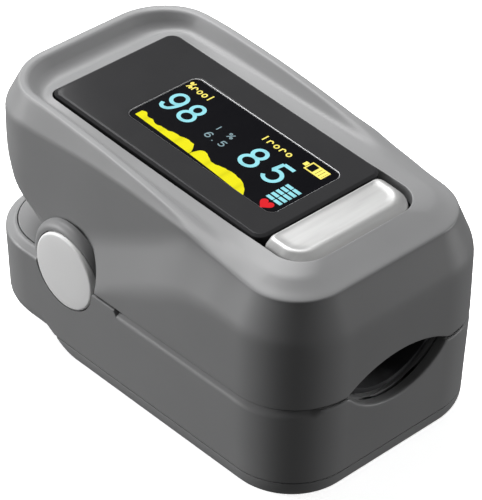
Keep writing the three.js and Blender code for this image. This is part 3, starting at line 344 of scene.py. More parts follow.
for sign, operation in (("add", "ADD"), ("sub", "SUBTRACT"), ("mul", "MULTIPLY")):
    setattr(Value, f"__{sign}__", operator(operation))
    setattr(Value, f"__r{sign}__", operator(operation, turned=True))


class Finish:
    """A material with a Principled shader, and a method for each kind of node it may need."""

    def __init__(self, name, **constants):
        self.material = bpy.data.materials.new(name)
        self.material.use_nodes = True
        self.tree = self.material.node_tree
        self.shader = self.tree.nodes["Principled BSDF"]
        self.place = self.node("TexCoord", output="Object")
        for socket, value in constants.items():
            self.shader.inputs[socket.replace("_", " ")].default_value = value

    def node(self, kind, settings=None, inputs=None, output=0):
        """Adds a node of that kind, sets its settings, fills its inputs, and gives an output."""
        prefix = "ShaderNodeTex" if kind in ("Noise", "Voronoi", "Wave") else "ShaderNode"
        made = self.tree.nodes.new(prefix + kind)
        for key, value in (settings or {}).items():
            setattr(made, key, value)
        for key, value in (inputs or {}).items():
            value = getattr(value, "socket", value)
            if isinstance(value, bpy.types.NodeSocket):
                self.tree.links.new(value, made.inputs[key])
            else:
                made.inputs[key].default_value = value
        return made.outputs[output]

    def noise(self, per_mm, detail=2, roughness=0.5):
        """A soft noise from 0 to 1 with that many lumps in a millimetre."""
        return Value(self, self.node("Noise", None, {
            "Vector": self.place, "Scale": per_mm / MM, "Detail": detail, "Roughness": roughness}))

    def axis(self, name):
        """One coordinate of the piece, in millimetres."""
        parts = self.node("SeparateXYZ", None, {0: self.place}, name)
        return Value(self, parts) * (1 / MM)

    def ramp(self, value, low, high):
        """0 below low, 1 above high, and a smooth step between."""
        return Value(self, self.node("MapRange", {"interpolation_type": "SMOOTHSTEP"}, {
            "Value": value, "From Min": low, "From Max": high}))

    def mix(self, share, a, b):
        """Colour a where share is 0 and colour b where it is 1."""
        return self.node("Mix", {"data_type": "RGBA"}, {0: share, 6: a, 7: b}, 2)

    def use(self, **links):
        """Links what varies to the shader: Base_Color, Roughness, Metallic or Emission_Color."""
        for socket, value in links.items():
            value = getattr(value, "socket", value)
            self.tree.links.new(value, self.shader.inputs[socket.replace("_", " ")])
        return self

    def bump(self, height, depth_mm, strength=1.0):
        """Bumps of that depth, where height runs from 0 to 1."""
        made = self.node("Bump", None, {
            "Strength": strength, "Distance": depth_mm * MM, "Height": height}, "Normal")
        self.tree.links.new(made, self.shader.inputs["Normal"])
        return self


def shade(red, green, blue, light=1.0):
    """A colour with its alpha, lightened or darkened."""
    return (red * light, green * light, blue * light, 1.0)


# %% [markdown]
# ## Finishes
# The shells are satin ABS from a spark-eroded mould: a fine, even grain that softens highlights,
# a faint mottle, and a slight polish where fingers hold the clip. All of it is noise at the real
# scale of the grain, a few lumps in a millimetre.

# %% Case plastic
def moulded(name, colour, roughness=0.42, grain=7.0, depth=0.004, mottle=0.05, polish=None):
    """Satin moulded plastic. Colour and roughness drift with a slow noise, and the bump is the
    grain of the mould plus a faint ripple. polish is a 0 to 1 value that smooths the surface."""
    made = Finish(name, Specular_IOR_Level=0.22, Metallic=0.0)
    slow = made.noise(0.12, 3)
    fine = made.noise(grain, 2, 0.6)
    made.use(Base_Color=made.mix(slow, shade(*colour, 1 - mottle), shade(*colour, 1 + mottle)))
    rough = roughness + (slow - 0.5) * 0.10 + (fine - 0.5) * 0.08
    made.use(Roughness=rough if polish is None else rough - polish(made) * 0.10)
    return made.bump(fine * 0.8 + made.noise(0.5, 1) * 0.2, depth)


def held(made):
    """Polish by the fingers: strongest over the hinge, where the clip is squeezed."""
    return made.ramp(made.axis("Y"), HINGE_Y, REAR) * made.noise(0.2, 2)


CASE_GREY = (0.197, 0.198, 0.200)
case_plastic = moulded("case plastic", CASE_GREY, polish=held).material
door_plastic = moulded("door plastic", tuple(0.97 * c for c in CASE_GREY)).material
frame_plastic = moulded("frame plastic", tuple(0.95 * c for c in CASE_GREY), 0.5).material
cap_plastic = moulded("cap plastic", (0.66, 0.66, 0.66), 0.42, 9.0, 0.002, 0.02).material
print("moulded plastics:", case_plastic.name, door_plastic.name, cap_plastic.name)

# %% Silicone, pearl lacquer and gloss
silicone = Finish("silicone", Specular_IOR_Level=0.3)
skin_noise = silicone.noise(3.0, 3)
dust = silicone.ramp(silicone.noise(0.4, 4), 0.55, 0.8)
silicone.use(Base_Color=silicone.mix(dust, shade(0.030, 0.030, 0.032), shade(0.05, 0.05, 0.052)),
             Roughness=0.62 + skin_noise * 0.15)
silicone.bump(skin_noise, 0.012)

pearl = Finish("pearl lacquer", Specular_IOR_Level=0.3, Coat_Weight=0.05, Coat_Roughness=0.25)
flake = pearl.noise(16.0, 1, 0.7)
streaks = pearl.node("Mapping", None, {"Vector": pearl.place, "Scale": (0.10, 1.0, 0.3)}, "Vector")
cloud = Value(pearl, pearl.node("Noise", None, {
    "Vector": streaks, "Scale": 0.7 / MM, "Detail": 3.0}))
pearl.use(Base_Color=pearl.mix(cloud, shade(0.25, 0.25, 0.248), shade(0.42, 0.42, 0.417)),
          Roughness=0.38 + (flake - 0.5) * 0.12, Metallic=0.15 + flake * 0.2)
pearl.bump(flake, 0.0012)
print("soft and lacquered finishes:", silicone.material.name, pearl.material.name)

# %% [markdown]
# The lens is a moulding of clear acrylic with a black print behind it, so it reads as a dark gloss
# with a faint haze. The window in it is a darker glass, on which the dots of the display light up.
# The dots come from a regular Voronoi pattern on the object coordinates, so nothing is painted.

# %% Lens and display
WINDOW_X, WINDOW_Y = (-6.7, 6.1), (-14.8, 13.1)
lens_gloss = Finish("lens gloss", Specular_IOR_Level=0.03)
haze = lens_gloss.noise(0.18, 3)
smear = lens_gloss.ramp(lens_gloss.noise(0.9, 4, 0.65), 0.55, 0.85)
lens_gloss.use(Base_Color=lens_gloss.mix(haze, shade(0.023, 0.023, 0.024),
                                         shade(0.028, 0.028, 0.029)),
               Roughness=0.10 + smear * 0.06)

panel_glass = Finish("panel glass", Specular_IOR_Level=0.01)
dot_grid = panel_glass.node("Voronoi", {"distance": "CHEBYCHEV"}, {
    "Vector": panel_glass.place, "Scale": 5 / MM, "Randomness": 0.0})
rows_seen = Value(panel_glass, dot_grid)
panel_glass.use(Base_Color=panel_glass.mix(rows_seen, shade(0.002, 0.002, 0.003),
                                           shade(0.0035, 0.0035, 0.0045)),
                Roughness=0.30 + rows_seen * 0.1)


def lit(name, colour, strength):
    """Light from the display: dots of the panel show as a slight change of brightness."""
    made = Finish(name, Specular_IOR_Level=0.0, Roughness=0.5, Emission_Strength=strength)
    dots = Value(made, made.node("Voronoi", {"distance": "CHEBYCHEV"}, {
        "Vector": made.place, "Scale": 7 / MM, "Randomness": 0.0}))
    shown = made.mix(made.ramp(dots, 0.15, 0.6), shade(*colour), shade(*colour, 0.72))
    made.use(Emission_Color=shown,
             Base_Color=made.mix(dots, shade(*colour, 0.04), shade(*colour, 0.02)))
    return made.material


yellow_light = lit("yellow light", (1.0, 0.93, 0.02), 1.0)
cyan_light = lit("cyan light", (0.36, 0.86, 0.95), 1.05)
label_light = lit("label light", (1.0, 0.86, 0.18), 1.25)
pale_light = lit("pale light", (0.50, 0.72, 0.80), 0.6)
red_light = lit("red light", (0.95, 0.03, 0.04), 0.9)
print("display lights:", yellow_light.name, cyan_light.name, label_light.name, red_light.name)

# %% Metals
def metal(name, colour, roughness, brushed_along="Y", depth=0.002):
    """Plated steel: fine brush lines along one axis, and a roughness that drifts."""
    made = Finish(name, Metallic=1.0)
    stretch = {"X": (0.04, 1, 1), "Y": (1, 0.04, 1), "Z": (1, 1, 0.04)}[brushed_along]
    lines = made.node("Noise", None, {
        "Vector": made.node("Mapping", None, {"Vector": made.place, "Scale": stretch}, "Vector"),
        "Scale": 9 / MM, "Detail": 3.0})
    lines = Value(made, lines)
    stain = made.noise(0.5, 3)
    made.use(Base_Color=made.mix(stain, shade(*colour, 0.86), shade(*colour, 1.05)),
             Roughness=roughness + (lines - 0.5) * 0.2)
    return made.bump(lines, depth).material


steel = metal("zinc plated steel", (0.60, 0.61, 0.62), 0.30, "X")
nickel = metal("nickel plate", (0.66, 0.63, 0.58), 0.26, "Z")
# The silver trim round the window is a painted reflection: a metal band stands in for the
# reflection along the window's edge.
painted_edge_reflection = metal("painted edge reflection", (0.24, 0.24, 0.245), 0.48, "X", 0.0005)
print("metals:", steel.name, nickel.name, painted_edge_reflection.name)

# %% Circuit board, chips, ribbon and cell
solder_mask = Finish("solder mask", Specular_IOR_Level=0.5, Coat_Weight=0.3, Coat_Roughness=0.2)
BANDS = {"wave_type": "BANDS", "bands_direction": "X"}
tracks = solder_mask.node("Wave", BANDS, {
    "Vector": solder_mask.place, "Scale": 0.32 / MM, "Distortion": 3.0, "Detail": 2.0})
copper = solder_mask.ramp(Value(solder_mask, tracks), 0.78, 0.86)
solder_mask.use(Base_Color=solder_mask.mix(copper, shade(0.010, 0.060, 0.025),
                                           shade(0.022, 0.120, 0.045)),
                Roughness=0.34 + solder_mask.noise(1.2) * 0.1)
solder_mask.bump(copper, 0.03)

package = moulded("chip package", (0.018, 0.018, 0.019), 0.50, 12.0, 0.003).material
connector_nylon = moulded("connector nylon", (0.56, 0.50, 0.38), 0.45, 6.0, 0.003).material

ribbon = Finish("ribbon", Specular_IOR_Level=0.5, Coat_Weight=0.4, Coat_Roughness=0.15)
lanes = ribbon.node("Wave", BANDS, {"Vector": ribbon.place, "Scale": 0.32 / MM})
strips = ribbon.ramp(Value(ribbon, lanes), 0.4, 0.6)
ribbon.use(Base_Color=ribbon.mix(strips, shade(0.45, 0.20, 0.05), shade(0.30, 0.12, 0.03)),
           Roughness=0.30 + ribbon.noise(2.0) * 0.1)
ribbon.bump(strips, 0.02)

jacket = Finish("cell jacket", Specular_IOR_Level=0.5, Coat_Weight=0.5, Coat_Roughness=0.1)
cell_low, cell_high = corners("battery_left")
from_end = jacket.axis("Y") - cell_low[1]
band = jacket.ramp(from_end, 11.5, 11.9)
metal_end = jacket.ramp(abs(from_end - (cell_high[1] - cell_low[1]) / 2), 20.8, 21.0)
printed = jacket.mix(band, shade(0.55, 0.56, 0.58), shade(0.035, 0.08, 0.16))
jacket.use(Base_Color=jacket.mix(metal_end, printed, shade(0.62, 0.62, 0.62)),
           Metallic=metal_end * 0.9, Roughness=0.25 + jacket.noise(1.0) * 0.12)
clear = Finish("clear epoxy", Specular_IOR_Level=0.5, Transmission_Weight=0.85, IOR=1.5)
clear.use(Base_Color=clear.mix(clear.noise(0.6), shade(0.80, 0.83, 0.84), shade(0.72, 0.77, 0.80)),
          Roughness=0.08 + clear.noise(2.5) * 0.10)
print("inner finishes:", solder_mask.material.name, package.name, ribbon.material.name)

# %% [markdown]
# ## The upper shell
# One moulding: a full-width skirt round the finger mouth, a slanted facet that runs from the hinge
# up to the nose, a side wall that is set back behind it, and a rim that stands up round the
# display. All of these are heights and offsets that change along the length, so they are written
# as stops along Y. The rings are laid on the set-back outline, and `out` pushes them off it.

# %% Outline and heights of the upper shell
SET_BACK = HALF - RECESS
shell_xy, shell_way = loop(SET_BACK, FRONT + RECESS, REAR, CORNER - RECESS, CORNER)
Y = shell_xy[:, 1]


def shell_ring(out, z):
    """A ring pushed out of the set-back outline by `out`, at height z."""
    return ring(shell_xy + shell_way * np.broadcast_to(out, len(Y))[:, None], z)


facet_foot = along(Y, (FRONT, 24.65), (-21.5, 25.9), (-17.1, 26.0), (-12.4, 25.2), (-5.8, 22.15),
                   (-1.9, 20.1), (5.7, 15.85), (20, 7.8), (REAR, 1))
facet_head = along(Y, (FRONT, 30.4), (-26, 30.6), (-20, 31.0), (-16, 31.6), (-11, 32.0),
                   (-3.6, 28.4), (8.1, 22.15), (20, 15.6), (REAR, 9))
rim_foot = along(Y, (FRONT, 30.85), (-24, 31.0), (-20, 31.35), (-16.4, 32.0), (-13.4, 32.5),
                 (-9.2, 33.3), (-3.6, 33.4), (2, 33.66), (7.8, 33.66), (19.7, 32.9), (REAR, 32.2))
crest_z = along(Y, (FRONT, 31.05), (-24, 31.2), (-20.7, 31.5), (-16, 32.3), (-12.5, 33.0),
                (-8, 33.9), (-2.5, 34.8), (2, 35.4), (8.75, 36.1), (20, 36.7), (REAR, 36.5))
crest_in = along(Y, (FRONT, 0.45), (-24, 0.45), (-20.7, 0.45), (-12.5, 0.75), (-2.5, 0.85),
                 (8.75, 1.0), (20, 1.25), (REAR, 2.3))


def facet_out(z):
    """How far the skirt and its facet stand out of the side wall at height z."""
    share = (facet_head - z) / np.maximum(facet_head - facet_foot, 0.1)
    return RECESS * np.clip(share, 0, 1)


print("crest of the rim at", crest_z.max().round(2), "mm")

# %% Bottom edge: seam, finger mouth and rear wedge
MOUTH_HALF = HALF - CORNER
MOUTH_TOP, MOUTH_TOP_RADIUS = 2.75, 16.8
WEDGE_SLOPE, WEDGE_START = 0.53, HINGE_Y + 0.45
upper_seam = SEAM + SEAM_GAP / 2


def mouth_arch(x):
    """The top of the mouth: a circle through both ends of the straight front."""
    inside = np.abs(x) < MOUTH_HALF
    middle = SEAM + MOUTH_TOP - MOUTH_TOP_RADIUS
    arch = middle + np.sqrt(np.maximum(MOUTH_TOP_RADIUS ** 2 - x ** 2, 0))
    return np.where(inside, np.maximum(arch, upper_seam), upper_seam)


def bottom_z(xy):
    """The lower edge of the upper shell over a plan point."""
    wedge = HINGE_Z + WEDGE_SLOPE * (xy[:, 1] - WEDGE_START)
    at_front = xy[:, 1] < FRONT + CORNER * 0.3
    return np.where(at_front, mouth_arch(xy[:, 0]), np.maximum(upper_seam, wedge))


bottom_out = facet_out(upper_seam) - along(Y, (20, 0), (25, 0.25), (REAR, 2.45))
outer_xy = shell_ring(bottom_out, 0)[:, :2]
inner_xy = shell_ring(bottom_out - WALL, 0)[:, :2]
inner_xy[:, 1] = np.minimum(inner_xy[:, 1], HINGE_Y + 2.2)
outer_z, inner_z = bottom_z(outer_xy), bottom_z(inner_xy)
print("mouth rises to", mouth_arch(np.zeros(1))[0])

# %% Rings of the upper shell
OPENING_GAP = 0.2
BUTTON_FRONT, BUTTON_REAR = button_low[1] + 0.3, button_high[1] + 0.3
opening_xy, _ = loop(LENS_HALF + OPENING_GAP, BUTTON_FRONT - OPENING_GAP, LENS_REAR + OPENING_GAP,
                     4.4, 1.6)
opening_xy = opening_xy + TOP_SHIFT
sunk = along(opening_xy[:, 1], (-27, 0.30), (-18.5, 0.35), (-12, 0.55), (5, 0.62),
             (LENS_REAR, 0.45))
opening_z = lens_top(np.maximum(opening_xy[:, 1], LENS_FRONT - 3)) - sunk
upper_rings = [
    (ring(inner_xy, inner_z), 0.0),
    (ring(outer_xy, outer_z), 0.25),
    (shell_ring(np.minimum(facet_out(facet_foot), facet_out(outer_z + 0.4)) - 0.05
                - along(Y, (20, 0), (25, 0.05), (REAR, 0.25)),
                np.maximum(facet_foot, outer_z + along(Y, (14, 0.4), (22, 0.8), (REAR, 2.1)))),
     along(Y, (FRONT, 1.1), (-20, 1.0), (-6, 1.6), (6, 1.2), (REAR, 1.0))),
    (shell_ring(along(Y, (FRONT, 0.0), (REAR, 0)),
                np.maximum(facet_head, outer_z + along(Y, (14, 0.9), (22, 1.8), (REAR, 4.6)))),
     along(Y, (FRONT, 1.2), (-18, 1.2), (-8, 1.4), (REAR, 1.5))),
    (shell_ring(along(Y, (FRONT, -0.12), (-14, -0.08), (REAR, 0)), rim_foot),
     along(Y, (FRONT, 0.4), (-18, 0.4), (-12, 0.4), (10, 0.4), (REAR, 0.8))),
    (shell_ring(-crest_in, crest_z),
     along(Y, (FRONT, 0.5), (-16, 0.4), (-10, 0.35), (10, 0.3), (REAR, 0.25))),
    (shell_ring(-crest_in - along(Y, (FRONT, 1.0), (-14, 1.0), (-6, 1.2), (20, 1.2), (REAR, 1.1)),
                crest_z + along(Y, (FRONT, 0.42), (-18, 0.3), (-12, 0.15), (-6, 0.0), (8, -0.05),
                                (REAR, -0.10))),
     along(Y, (FRONT, 0.5), (-10, 0.5), (0, 0.35), (REAR, 0.4))),
    (shell_ring(-along(Y, (FRONT, 3.2), (-12, 3.1), (8, 3.2), (20, 3.6), (REAR, 5.8)),
                along(Y, (FRONT, 32.2), (-20, 32.5), (-14, 32.95), (-8, 33.3), (0, 33.7),
                      (18, 34.5), (REAR, 34.15))),
     along(Y, (FRONT, 0.5), (-8, 0.5), (8, 0.8), (REAR, 3.2))),
    (ring(opening_xy, opening_z), 0.12),
    (ring(opening_xy, opening_z - 1.8), 0.0),
    (ring(opening_xy * np.array([1.08, 1.03]), opening_z - 2.0), 0.0),
    (shell_ring(-3.3, crest_z - 2.4 - along(Y, (FRONT, 0.2), (REAR, 0.4))), 0.0),
    (shell_ring(-1.6, rim_foot - 3.5), 0.5),
    (ring(inner_xy, inner_z + 1.7), 0.0),
]
upper_rows = rows_of(upper_rings)
upper_shell = skin("upper_shell", upper_rows)
print("upper shell:", upper_rows.shape[0], "rows")

# %% Ear reliefs and hinge arms of the upper shell
EAR_RADIUS, EAR_INNER, EAR_GAP = 6.4, SET_BACK + 0.3, 0.4
EAR_Y, EAR_Z = HINGE_Y + 0.55, HINGE_Z + 0.45
RELIEF = EAR_RADIUS + EAR_GAP
reliefs = [lathe("relief", [(RELIEF, side * EAR_INNER), (RELIEF, side * 22)],
                 "x", (0, EAR_Y, EAR_Z), 128) for side in (-1, 1)]
arms = [lathe("arm", [(3.0, side * (SET_BACK - 1.3)), (3.0, side * (SET_BACK - 0.02))],
              "x", (0, HINGE_Y, HINGE_Z), 48) for side in (-1, 1)]
carve(upper_shell, *reliefs)
carve(upper_shell, *arms, join=True)
place(smooth(upper_shell), "upper", "case_plastic", "upper_case", material=case_plastic)

# %% [markdown]
# ## The lower shell
# An upright tray with a rounded lip along the seam, a soft scoop under the finger, and two round
# ears that carry the hinge. Ahead of the door's end its bottom edge meets the door; behind it the
# tray closes with a raised floor and a round bottom edge, so two neighbouring points on the rings
# are moved together to make that step sharp.

# %% Rings of the lower shell
LOWER_TOP = SEAM - SEAM_GAP / 2
DOOR_SEAM = 3.26
STEP_Y = door_high[1] + 0.28
FLOOR_Z, FLOOR_TOP, BOTTOM_ROUND = 3.8, 4.7, 2.7
MOUTH_RADIUS, MOUTH_DEPTH = 11.0, 4.5
DRAFT = 0.03
tray_xy, tray_way = loop(HALF, FRONT, LOWER_REAR, CORNER, CORNER)
for side in (1, -1):
    on_side = np.flatnonzero(tray_way[:, 0] == side)
    nearest = on_side[np.argsort(np.abs(tray_xy[on_side, 1] - STEP_Y))[:2]]
    order = nearest[np.argsort(tray_xy[nearest, 1])]
    tray_xy[order, 1] = STEP_Y - 0.03, STEP_Y + 0.03
behind = tray_xy[:, 1] > STEP_Y


def tray_ring(inset, z):
    """A ring inside the tray's outline by `inset`, at height z."""
    return ring(tray_xy - tray_way * np.broadcast_to(inset, len(tray_xy))[:, None], z)


def mouth_scoop(x, depth=MOUTH_DEPTH):
    """The bottom of the mouth: a circle that opens upwards and ends at the seam."""
    middle = SEAM - depth + MOUTH_RADIUS
    scoop = middle - np.sqrt(np.maximum(MOUTH_RADIUS ** 2 - x ** 2, 0))
    return np.where(np.abs(x) < MOUTH_RADIUS * 0.95, np.minimum(scoop, LOWER_TOP), LOWER_TOP)


at_mouth = tray_xy[:, 1] < FRONT + 1
LIP_STEP_Y, LIP_REAR_Y, LIP_DROP = 1.3, HINGE_Y + 5.5, 0.2
lip_z = np.where(tray_xy[:, 1] < LIP_STEP_Y, LOWER_TOP - LIP_DROP, LOWER_TOP)
lip_z = np.where(at_mouth, np.minimum(mouth_scoop(tray_xy[:, 0]), lip_z), lip_z)
beside_ear = (tray_xy[:, 1] > LIP_STEP_Y) & (tray_xy[:, 1] < LIP_REAR_Y)
in_mouth = at_mouth & (lip_z < LOWER_TOP)
lip_soft = np.select([in_mouth, beside_ear, tray_xy[:, 1] > LIP_REAR_Y], [0.25, 0.12, 0.7], 0.8)
lip_in = np.select([in_mouth, beside_ear, tray_xy[:, 1] > LIP_REAR_Y], [0.25, 0.2, 1.1], 0.85)
DOOR_GAP = 0.14
tray_foot = np.where(behind, FLOOR_Z, DOOR_SEAM + DOOR_GAP / 2)


def floor_ring(inset, z):
    """A ring of the opening over the door: at the rear it runs across, ahead of the contacts."""
    made = tray_ring(inset, z)
    made[:, 1] = np.minimum(made[:, 1], door_high[1] - 0.8)
    return made


tray_rings = [
    (tray_ring(np.where(tray_xy[:, 1] > LIP_REAR_Y, WALL + 0.13, WALL), lip_z - 0.05), 0.1),
    (tray_ring(lip_in, lip_z), 0.4),
    (tray_ring(0.0, lip_z - lip_soft), 0.4),
    (tray_ring(DRAFT * 9, 6.6), 0.1),
    (tray_ring(DRAFT * 12, tray_foot), np.where(behind, BOTTOM_ROUND, 0.12)),
    (floor_ring(1.8, tray_foot), 0.0),
    (floor_ring(1.8, FLOOR_TOP), 0.0),
    (tray_ring(1.55, FLOOR_TOP + 0.4), 0.2),
]
tray_rows = rows_of(tray_rings)
lower_shell = skin("lower_shell", tray_rows)
print("lower shell:", tray_rows.shape[0], "rows")

# %% Ears with their cap seats
CAP_RADIUS = 5.65
RAMP_WIDTH, RAMP_LENGTH, RAMP_HEIGHT = 7.2, 7.4, 4.6
EAR_FACE, EAR_ROUND = HALF - 0.4, 1.15
ear_profile = [(EAR_RADIUS, EAR_INNER), (EAR_RADIUS, EAR_FACE - EAR_ROUND)] + [
    (EAR_RADIUS - EAR_ROUND * (1 - cos(t)), EAR_FACE - EAR_ROUND * (1 - sin(t)))
    for t in np.linspace(0.2, pi / 2, 8)]
for side in (-1, 1):
    ear = lathe("ear", [(r, side * x) for r, x in ear_profile], "x", (0, EAR_Y, EAR_Z), 128)
    carve(ear, brick("under ear", (-40, -40, 0), (40, 40, LOWER_TOP - 2.6)))
    carve(lower_shell, ear, join=True)
    seat = [(CAP_RADIUS + 0.14, side * (HALF - 1.1)), (CAP_RADIUS + 0.14, side * (HALF + 2))]
    carve(lower_shell, lathe("seat", seat, "x", (0, HINGE_Y, HINGE_Z), 128))


def ramp_tool(side):
    """A wedge under a rear corner of the door, whose upper face climbs from the table."""
    near, far = sorted((side * (HALF - RAMP_WIDTH), side * 20))
    tool = brick("ramp", (near, STEP_Y - RAMP_LENGTH, -1), (far, STEP_Y, 0))
    points = np.empty(len(tool.data.vertices) * 3)
    tool.data.vertices.foreach_get("co", points)
    points = points.reshape(-1, 3)
    upper_face = points[:, 2] > -0.5 * MM
    points[:, 2] += upper_face * np.where(points[:, 1] > (STEP_Y - 1) * MM, RAMP_HEIGHT, 0.05) * MM
    tool.data.vertices.foreach_set("co", points.ravel())
    return tool


for side in (-1, 1):
    carve(lower_shell, ramp_tool(side))
place(smooth(lower_shell), "lower", "case_plastic", "lower_case", material=case_plastic)

# %% [markdown]
# ## Door, caps and button
# The battery door carries on the tray's sides down to a round bottom edge. The ramps that were cut
# from the tray for a fingertip go on through the door's rear corners, so the same tool cuts both.
# The rim between them is cut down, so that the cells clear it as the door slides. The hinge caps
# are turned, with a slightly domed face and a soft edge, and the button is a rounded lens of its
# own with a bevel round three sides.

# %% Battery door
door_under = DOOR_SEAM - DOOR_GAP / 2
CELL_ROOM, CELL_UNDER = 11.2, corners("battery_left")[0][2] - 0.12
print("cells start at", CELL_UNDER.round(2), "mm")
door_xy, door_way = loop(HALF, FRONT, door_high[1], CORNER, 0.9)


def door_ring(inset, z):
    """A ring inside the door's outline, which shares the tray's sides and is square behind."""
    reach = np.broadcast_to(inset, len(door_xy))[:, None]
    made = door_xy - door_way * reach
    at_rear = np.minimum(door_xy[:, 1] - 0.02, made[:, 1] + inset * 0.9)
    made[:, 1] = np.where(door_way[:, 1] > 0, at_rear, made[:, 1])
    return ring(made, z)


lean = DRAFT * (LOWER_TOP - BOTTOM_ROUND)
turns = np.linspace(0, pi / 2, 8)[1:]
door_rings = [door_ring(lean + BOTTOM_ROUND + 2.5, 0.0)] + [
    door_ring(lean + BOTTOM_ROUND * (1 - sin(t)), BOTTOM_ROUND * (1 - cos(t))) for t in turns
] + [door_ring(lean, door_under), door_ring(1.3, door_under), door_ring(1.4, 2.0),
     door_ring(2.6, 1.0), door_ring(5.0, 1.0)]
door_reaches = [0] + [0.25] * len(turns) + [0.12, 0.1, 0.1, 0.2, 0]
door_rows = rows_of(list(zip(door_rings, door_reaches)), closed=False, steps=3)
door = skin("door_shell", door_rows, closed=False, caps=True)
for side in (-1, 1):
    carve(door, ramp_tool(side))
carve(door, brick("over the cells", (-CELL_ROOM, FRONT + 3, CELL_UNDER), (CELL_ROOM, 40, 9)))
place(smooth(door), "door", "door_plastic", "battery_door", material=door_plastic)

# %% Hinge caps
for side, name in ((-1, "left"), (1, "right")):
    edge = [(CAP_RADIUS - 0.4 * (1 - cos(t)), HALF - 0.42 + 0.4 * sin(t))
            for t in np.linspace(0, pi / 2, 8)]
    face = [(CAP_RADIUS * s, HALF + 0.10 * (1 - s * s)) for s in (0.85, 0.6, 0.35, 0.12)]
    profile = [(CAP_RADIUS, HALF - 1.0)] + edge + face
    cap = lathe("cap_" + name, [(r, side * x) for r, x in profile], "x", (0, HINGE_Y, HINGE_Z), 128)
    place(smooth(cap), "lower", "cap_plastic", "hinge_cap_" + name, material=cap_plastic)

# %% Power button
BUTTON_HALF = 10.5
button_top = lens_top((button_low[1] + LENS_FRONT) / 2) - 0.05


def button_ring(side_in, front_in, rear_in, z, front_radius, rear_radius=0.7, tilt=1.0):
    """A ring of the button, moved in from its sides, front and rear, and sloping like the lens."""
    xy, _ = loop(BUTTON_HALF - side_in, BUTTON_FRONT + front_in, BUTTON_REAR - rear_in,
                 front_radius, rear_radius)
    xy = xy + TOP_SHIFT
    middle = (BUTTON_FRONT + BUTTON_REAR) / 2
    return ring(xy, z + tilt * LENS_SLOPE * (xy[:, 1] - middle))


button_rings = [
    (button_ring(0.0, 0.0, 0.0, button_low[2] + 0.7, 4.2, tilt=0), 0),
    (button_ring(0.0, 0.0, 0.0, button_top - 0.95, 4.2), 0.30),
    (button_ring(1.10, 1.9, 0.10, button_top + 0.02, 2.6), 0.45),
    (button_ring(2.1, 2.85, 0.75, button_top - 0.16, 1.9, 0.5), 0.5),
    (button_ring(3.6, 3.3, 1.6, button_top - 0.17, 0.9, 0.4), 0.3),
]
button = skin("button_cap", rows_of(button_rings, closed=False, steps=6), closed=False, caps=True)
place(smooth(button, 50), "button", "pearl_plastic", "power_button", material=pearl.material)

# %% [markdown]
# ## The lens and its window
# The lens is an acrylic plate in the tilted plane of the display, with a chamfer whose lower edge
# catches the light. A shallow pocket in it is the window: a thin metal band on its wall is a
# painted reflection of the window's edge, and its floor is the black glass on which the characters
# light up.

# %% Lens with its pocket
CHAMFER_IN, CHAMFER_DOWN = 0.40, 0.26
POCKET = 0.18
WINDOW_ROUND = 1.3
window_half = (WINDOW_X[1] - WINDOW_X[0]) / 2
window_middle = (WINDOW_X[1] + WINDOW_X[0]) / 2


def lens_ring(inset, depth):
    """A ring of the lens, inside its edge and below its top."""
    corner = 1.5 - inset / 2
    xy, _ = loop(LENS_HALF - inset, LENS_FRONT + inset, LENS_REAR - inset, corner, corner)
    xy = xy + TOP_SHIFT
    return ring(xy, lens_top(xy[:, 1]) - depth)


def window_ring(inset, depth):
    """A ring round the window, in the same tilted plane."""
    round_in = WINDOW_ROUND - inset
    xy, _ = loop(window_half - inset, WINDOW_Y[0] + inset, WINDOW_Y[1] - inset, round_in, round_in)
    xy = xy + np.array([window_middle, 0])
    return ring(xy, lens_top(xy[:, 1]) - depth)


LENS_DEPTH = 2.0
lens_rings = [(lens_ring(0.15, LENS_DEPTH), 0), (lens_ring(0.0, CHAMFER_DOWN), 0.07),
              (lens_ring(CHAMFER_IN, 0.0), 0.10), (window_ring(0.0, 0.0), 0.02),
              (window_ring(0.02, POCKET), 0)]
lens = skin("lens", rows_of(lens_rings, closed=False, steps=4), closed=False, caps=True)
place(smooth(lens, 40), "upper", "lens_gloss", "display_lens", material=lens_gloss.material)

# A metal band on the window's wall is a painted reflection: it stands in for the reflection along
# the window's edge, and the lamps light it as metal.
edge_band = skin("window_edge_reflection", np.stack([window_ring(0.03, POCKET - 0.01), window_ring(0.03, 0.0),
                                     window_ring(0.08, 0.015), window_ring(0.12, POCKET - 0.01)]))
place(smooth(edge_band, 40), "upper", "lens_gloss", material=painted_edge_reflection)

GLASS_DEPTH = POCKET - 0.03
glass_rings = np.stack([window_ring(0.05, POCKET - 0.005), window_ring(0.06, GLASS_DEPTH)])
glass = skin("window_glass", glass_rings, closed=False, caps=True)
place(smooth(glass, 40), "upper", "panel_glass", material=panel_glass.material)

# %% [markdown]
# ## What the display shows
# Every mark is a flat strip between two lines of points: a stroke is a line with a width, the
# pulse wave lies between its base and its top, and a heart between its outline and its middle. The
# reading direction u runs from the hinge to the mouth, and v up the page.

# %% Strips, strokes and glyphs
def stroke(points, width, shut=False):
    """Both edges of a line drawn with that width: each point moves sideways, along the direction
    halfway between its two neighbouring sides."""
    points = np.array(points, float)
    if shut:
        before, after = np.roll(points, 1, axis=0), np.roll(points, -1, axis=0)
        ahead = after - before
    else:
        ahead = np.gradient(points, axis=0)
    ahead /= np.maximum(np.linalg.norm(ahead, axis=1), 1e-9)[:, None]
    sideways = np.column_stack([-ahead[:, 1], ahead[:, 0]]) * width / 2
    left, right = points + sideways, points - sideways
    if shut:
        left, right = (np.vstack([edge, edge[:1]]) for edge in (left, right))
    return left, right


def arc(middle, radii, start, end, count=28):
    """Points on an ellipse from one angle to another, in degrees."""
    turn = np.radians(np.linspace(start, end, count))
    return np.array(middle) + np.column_stack([np.cos(turn), np.sin(turn)]) * np.array(radii)


def open_line(*points):
    """An open line of a glyph, with square corners."""
    return np.array(points), False


def round_shape(middle, radii):
    """A whole ellipse of a glyph, shut."""
    return arc(middle, radii, 0, 350), True


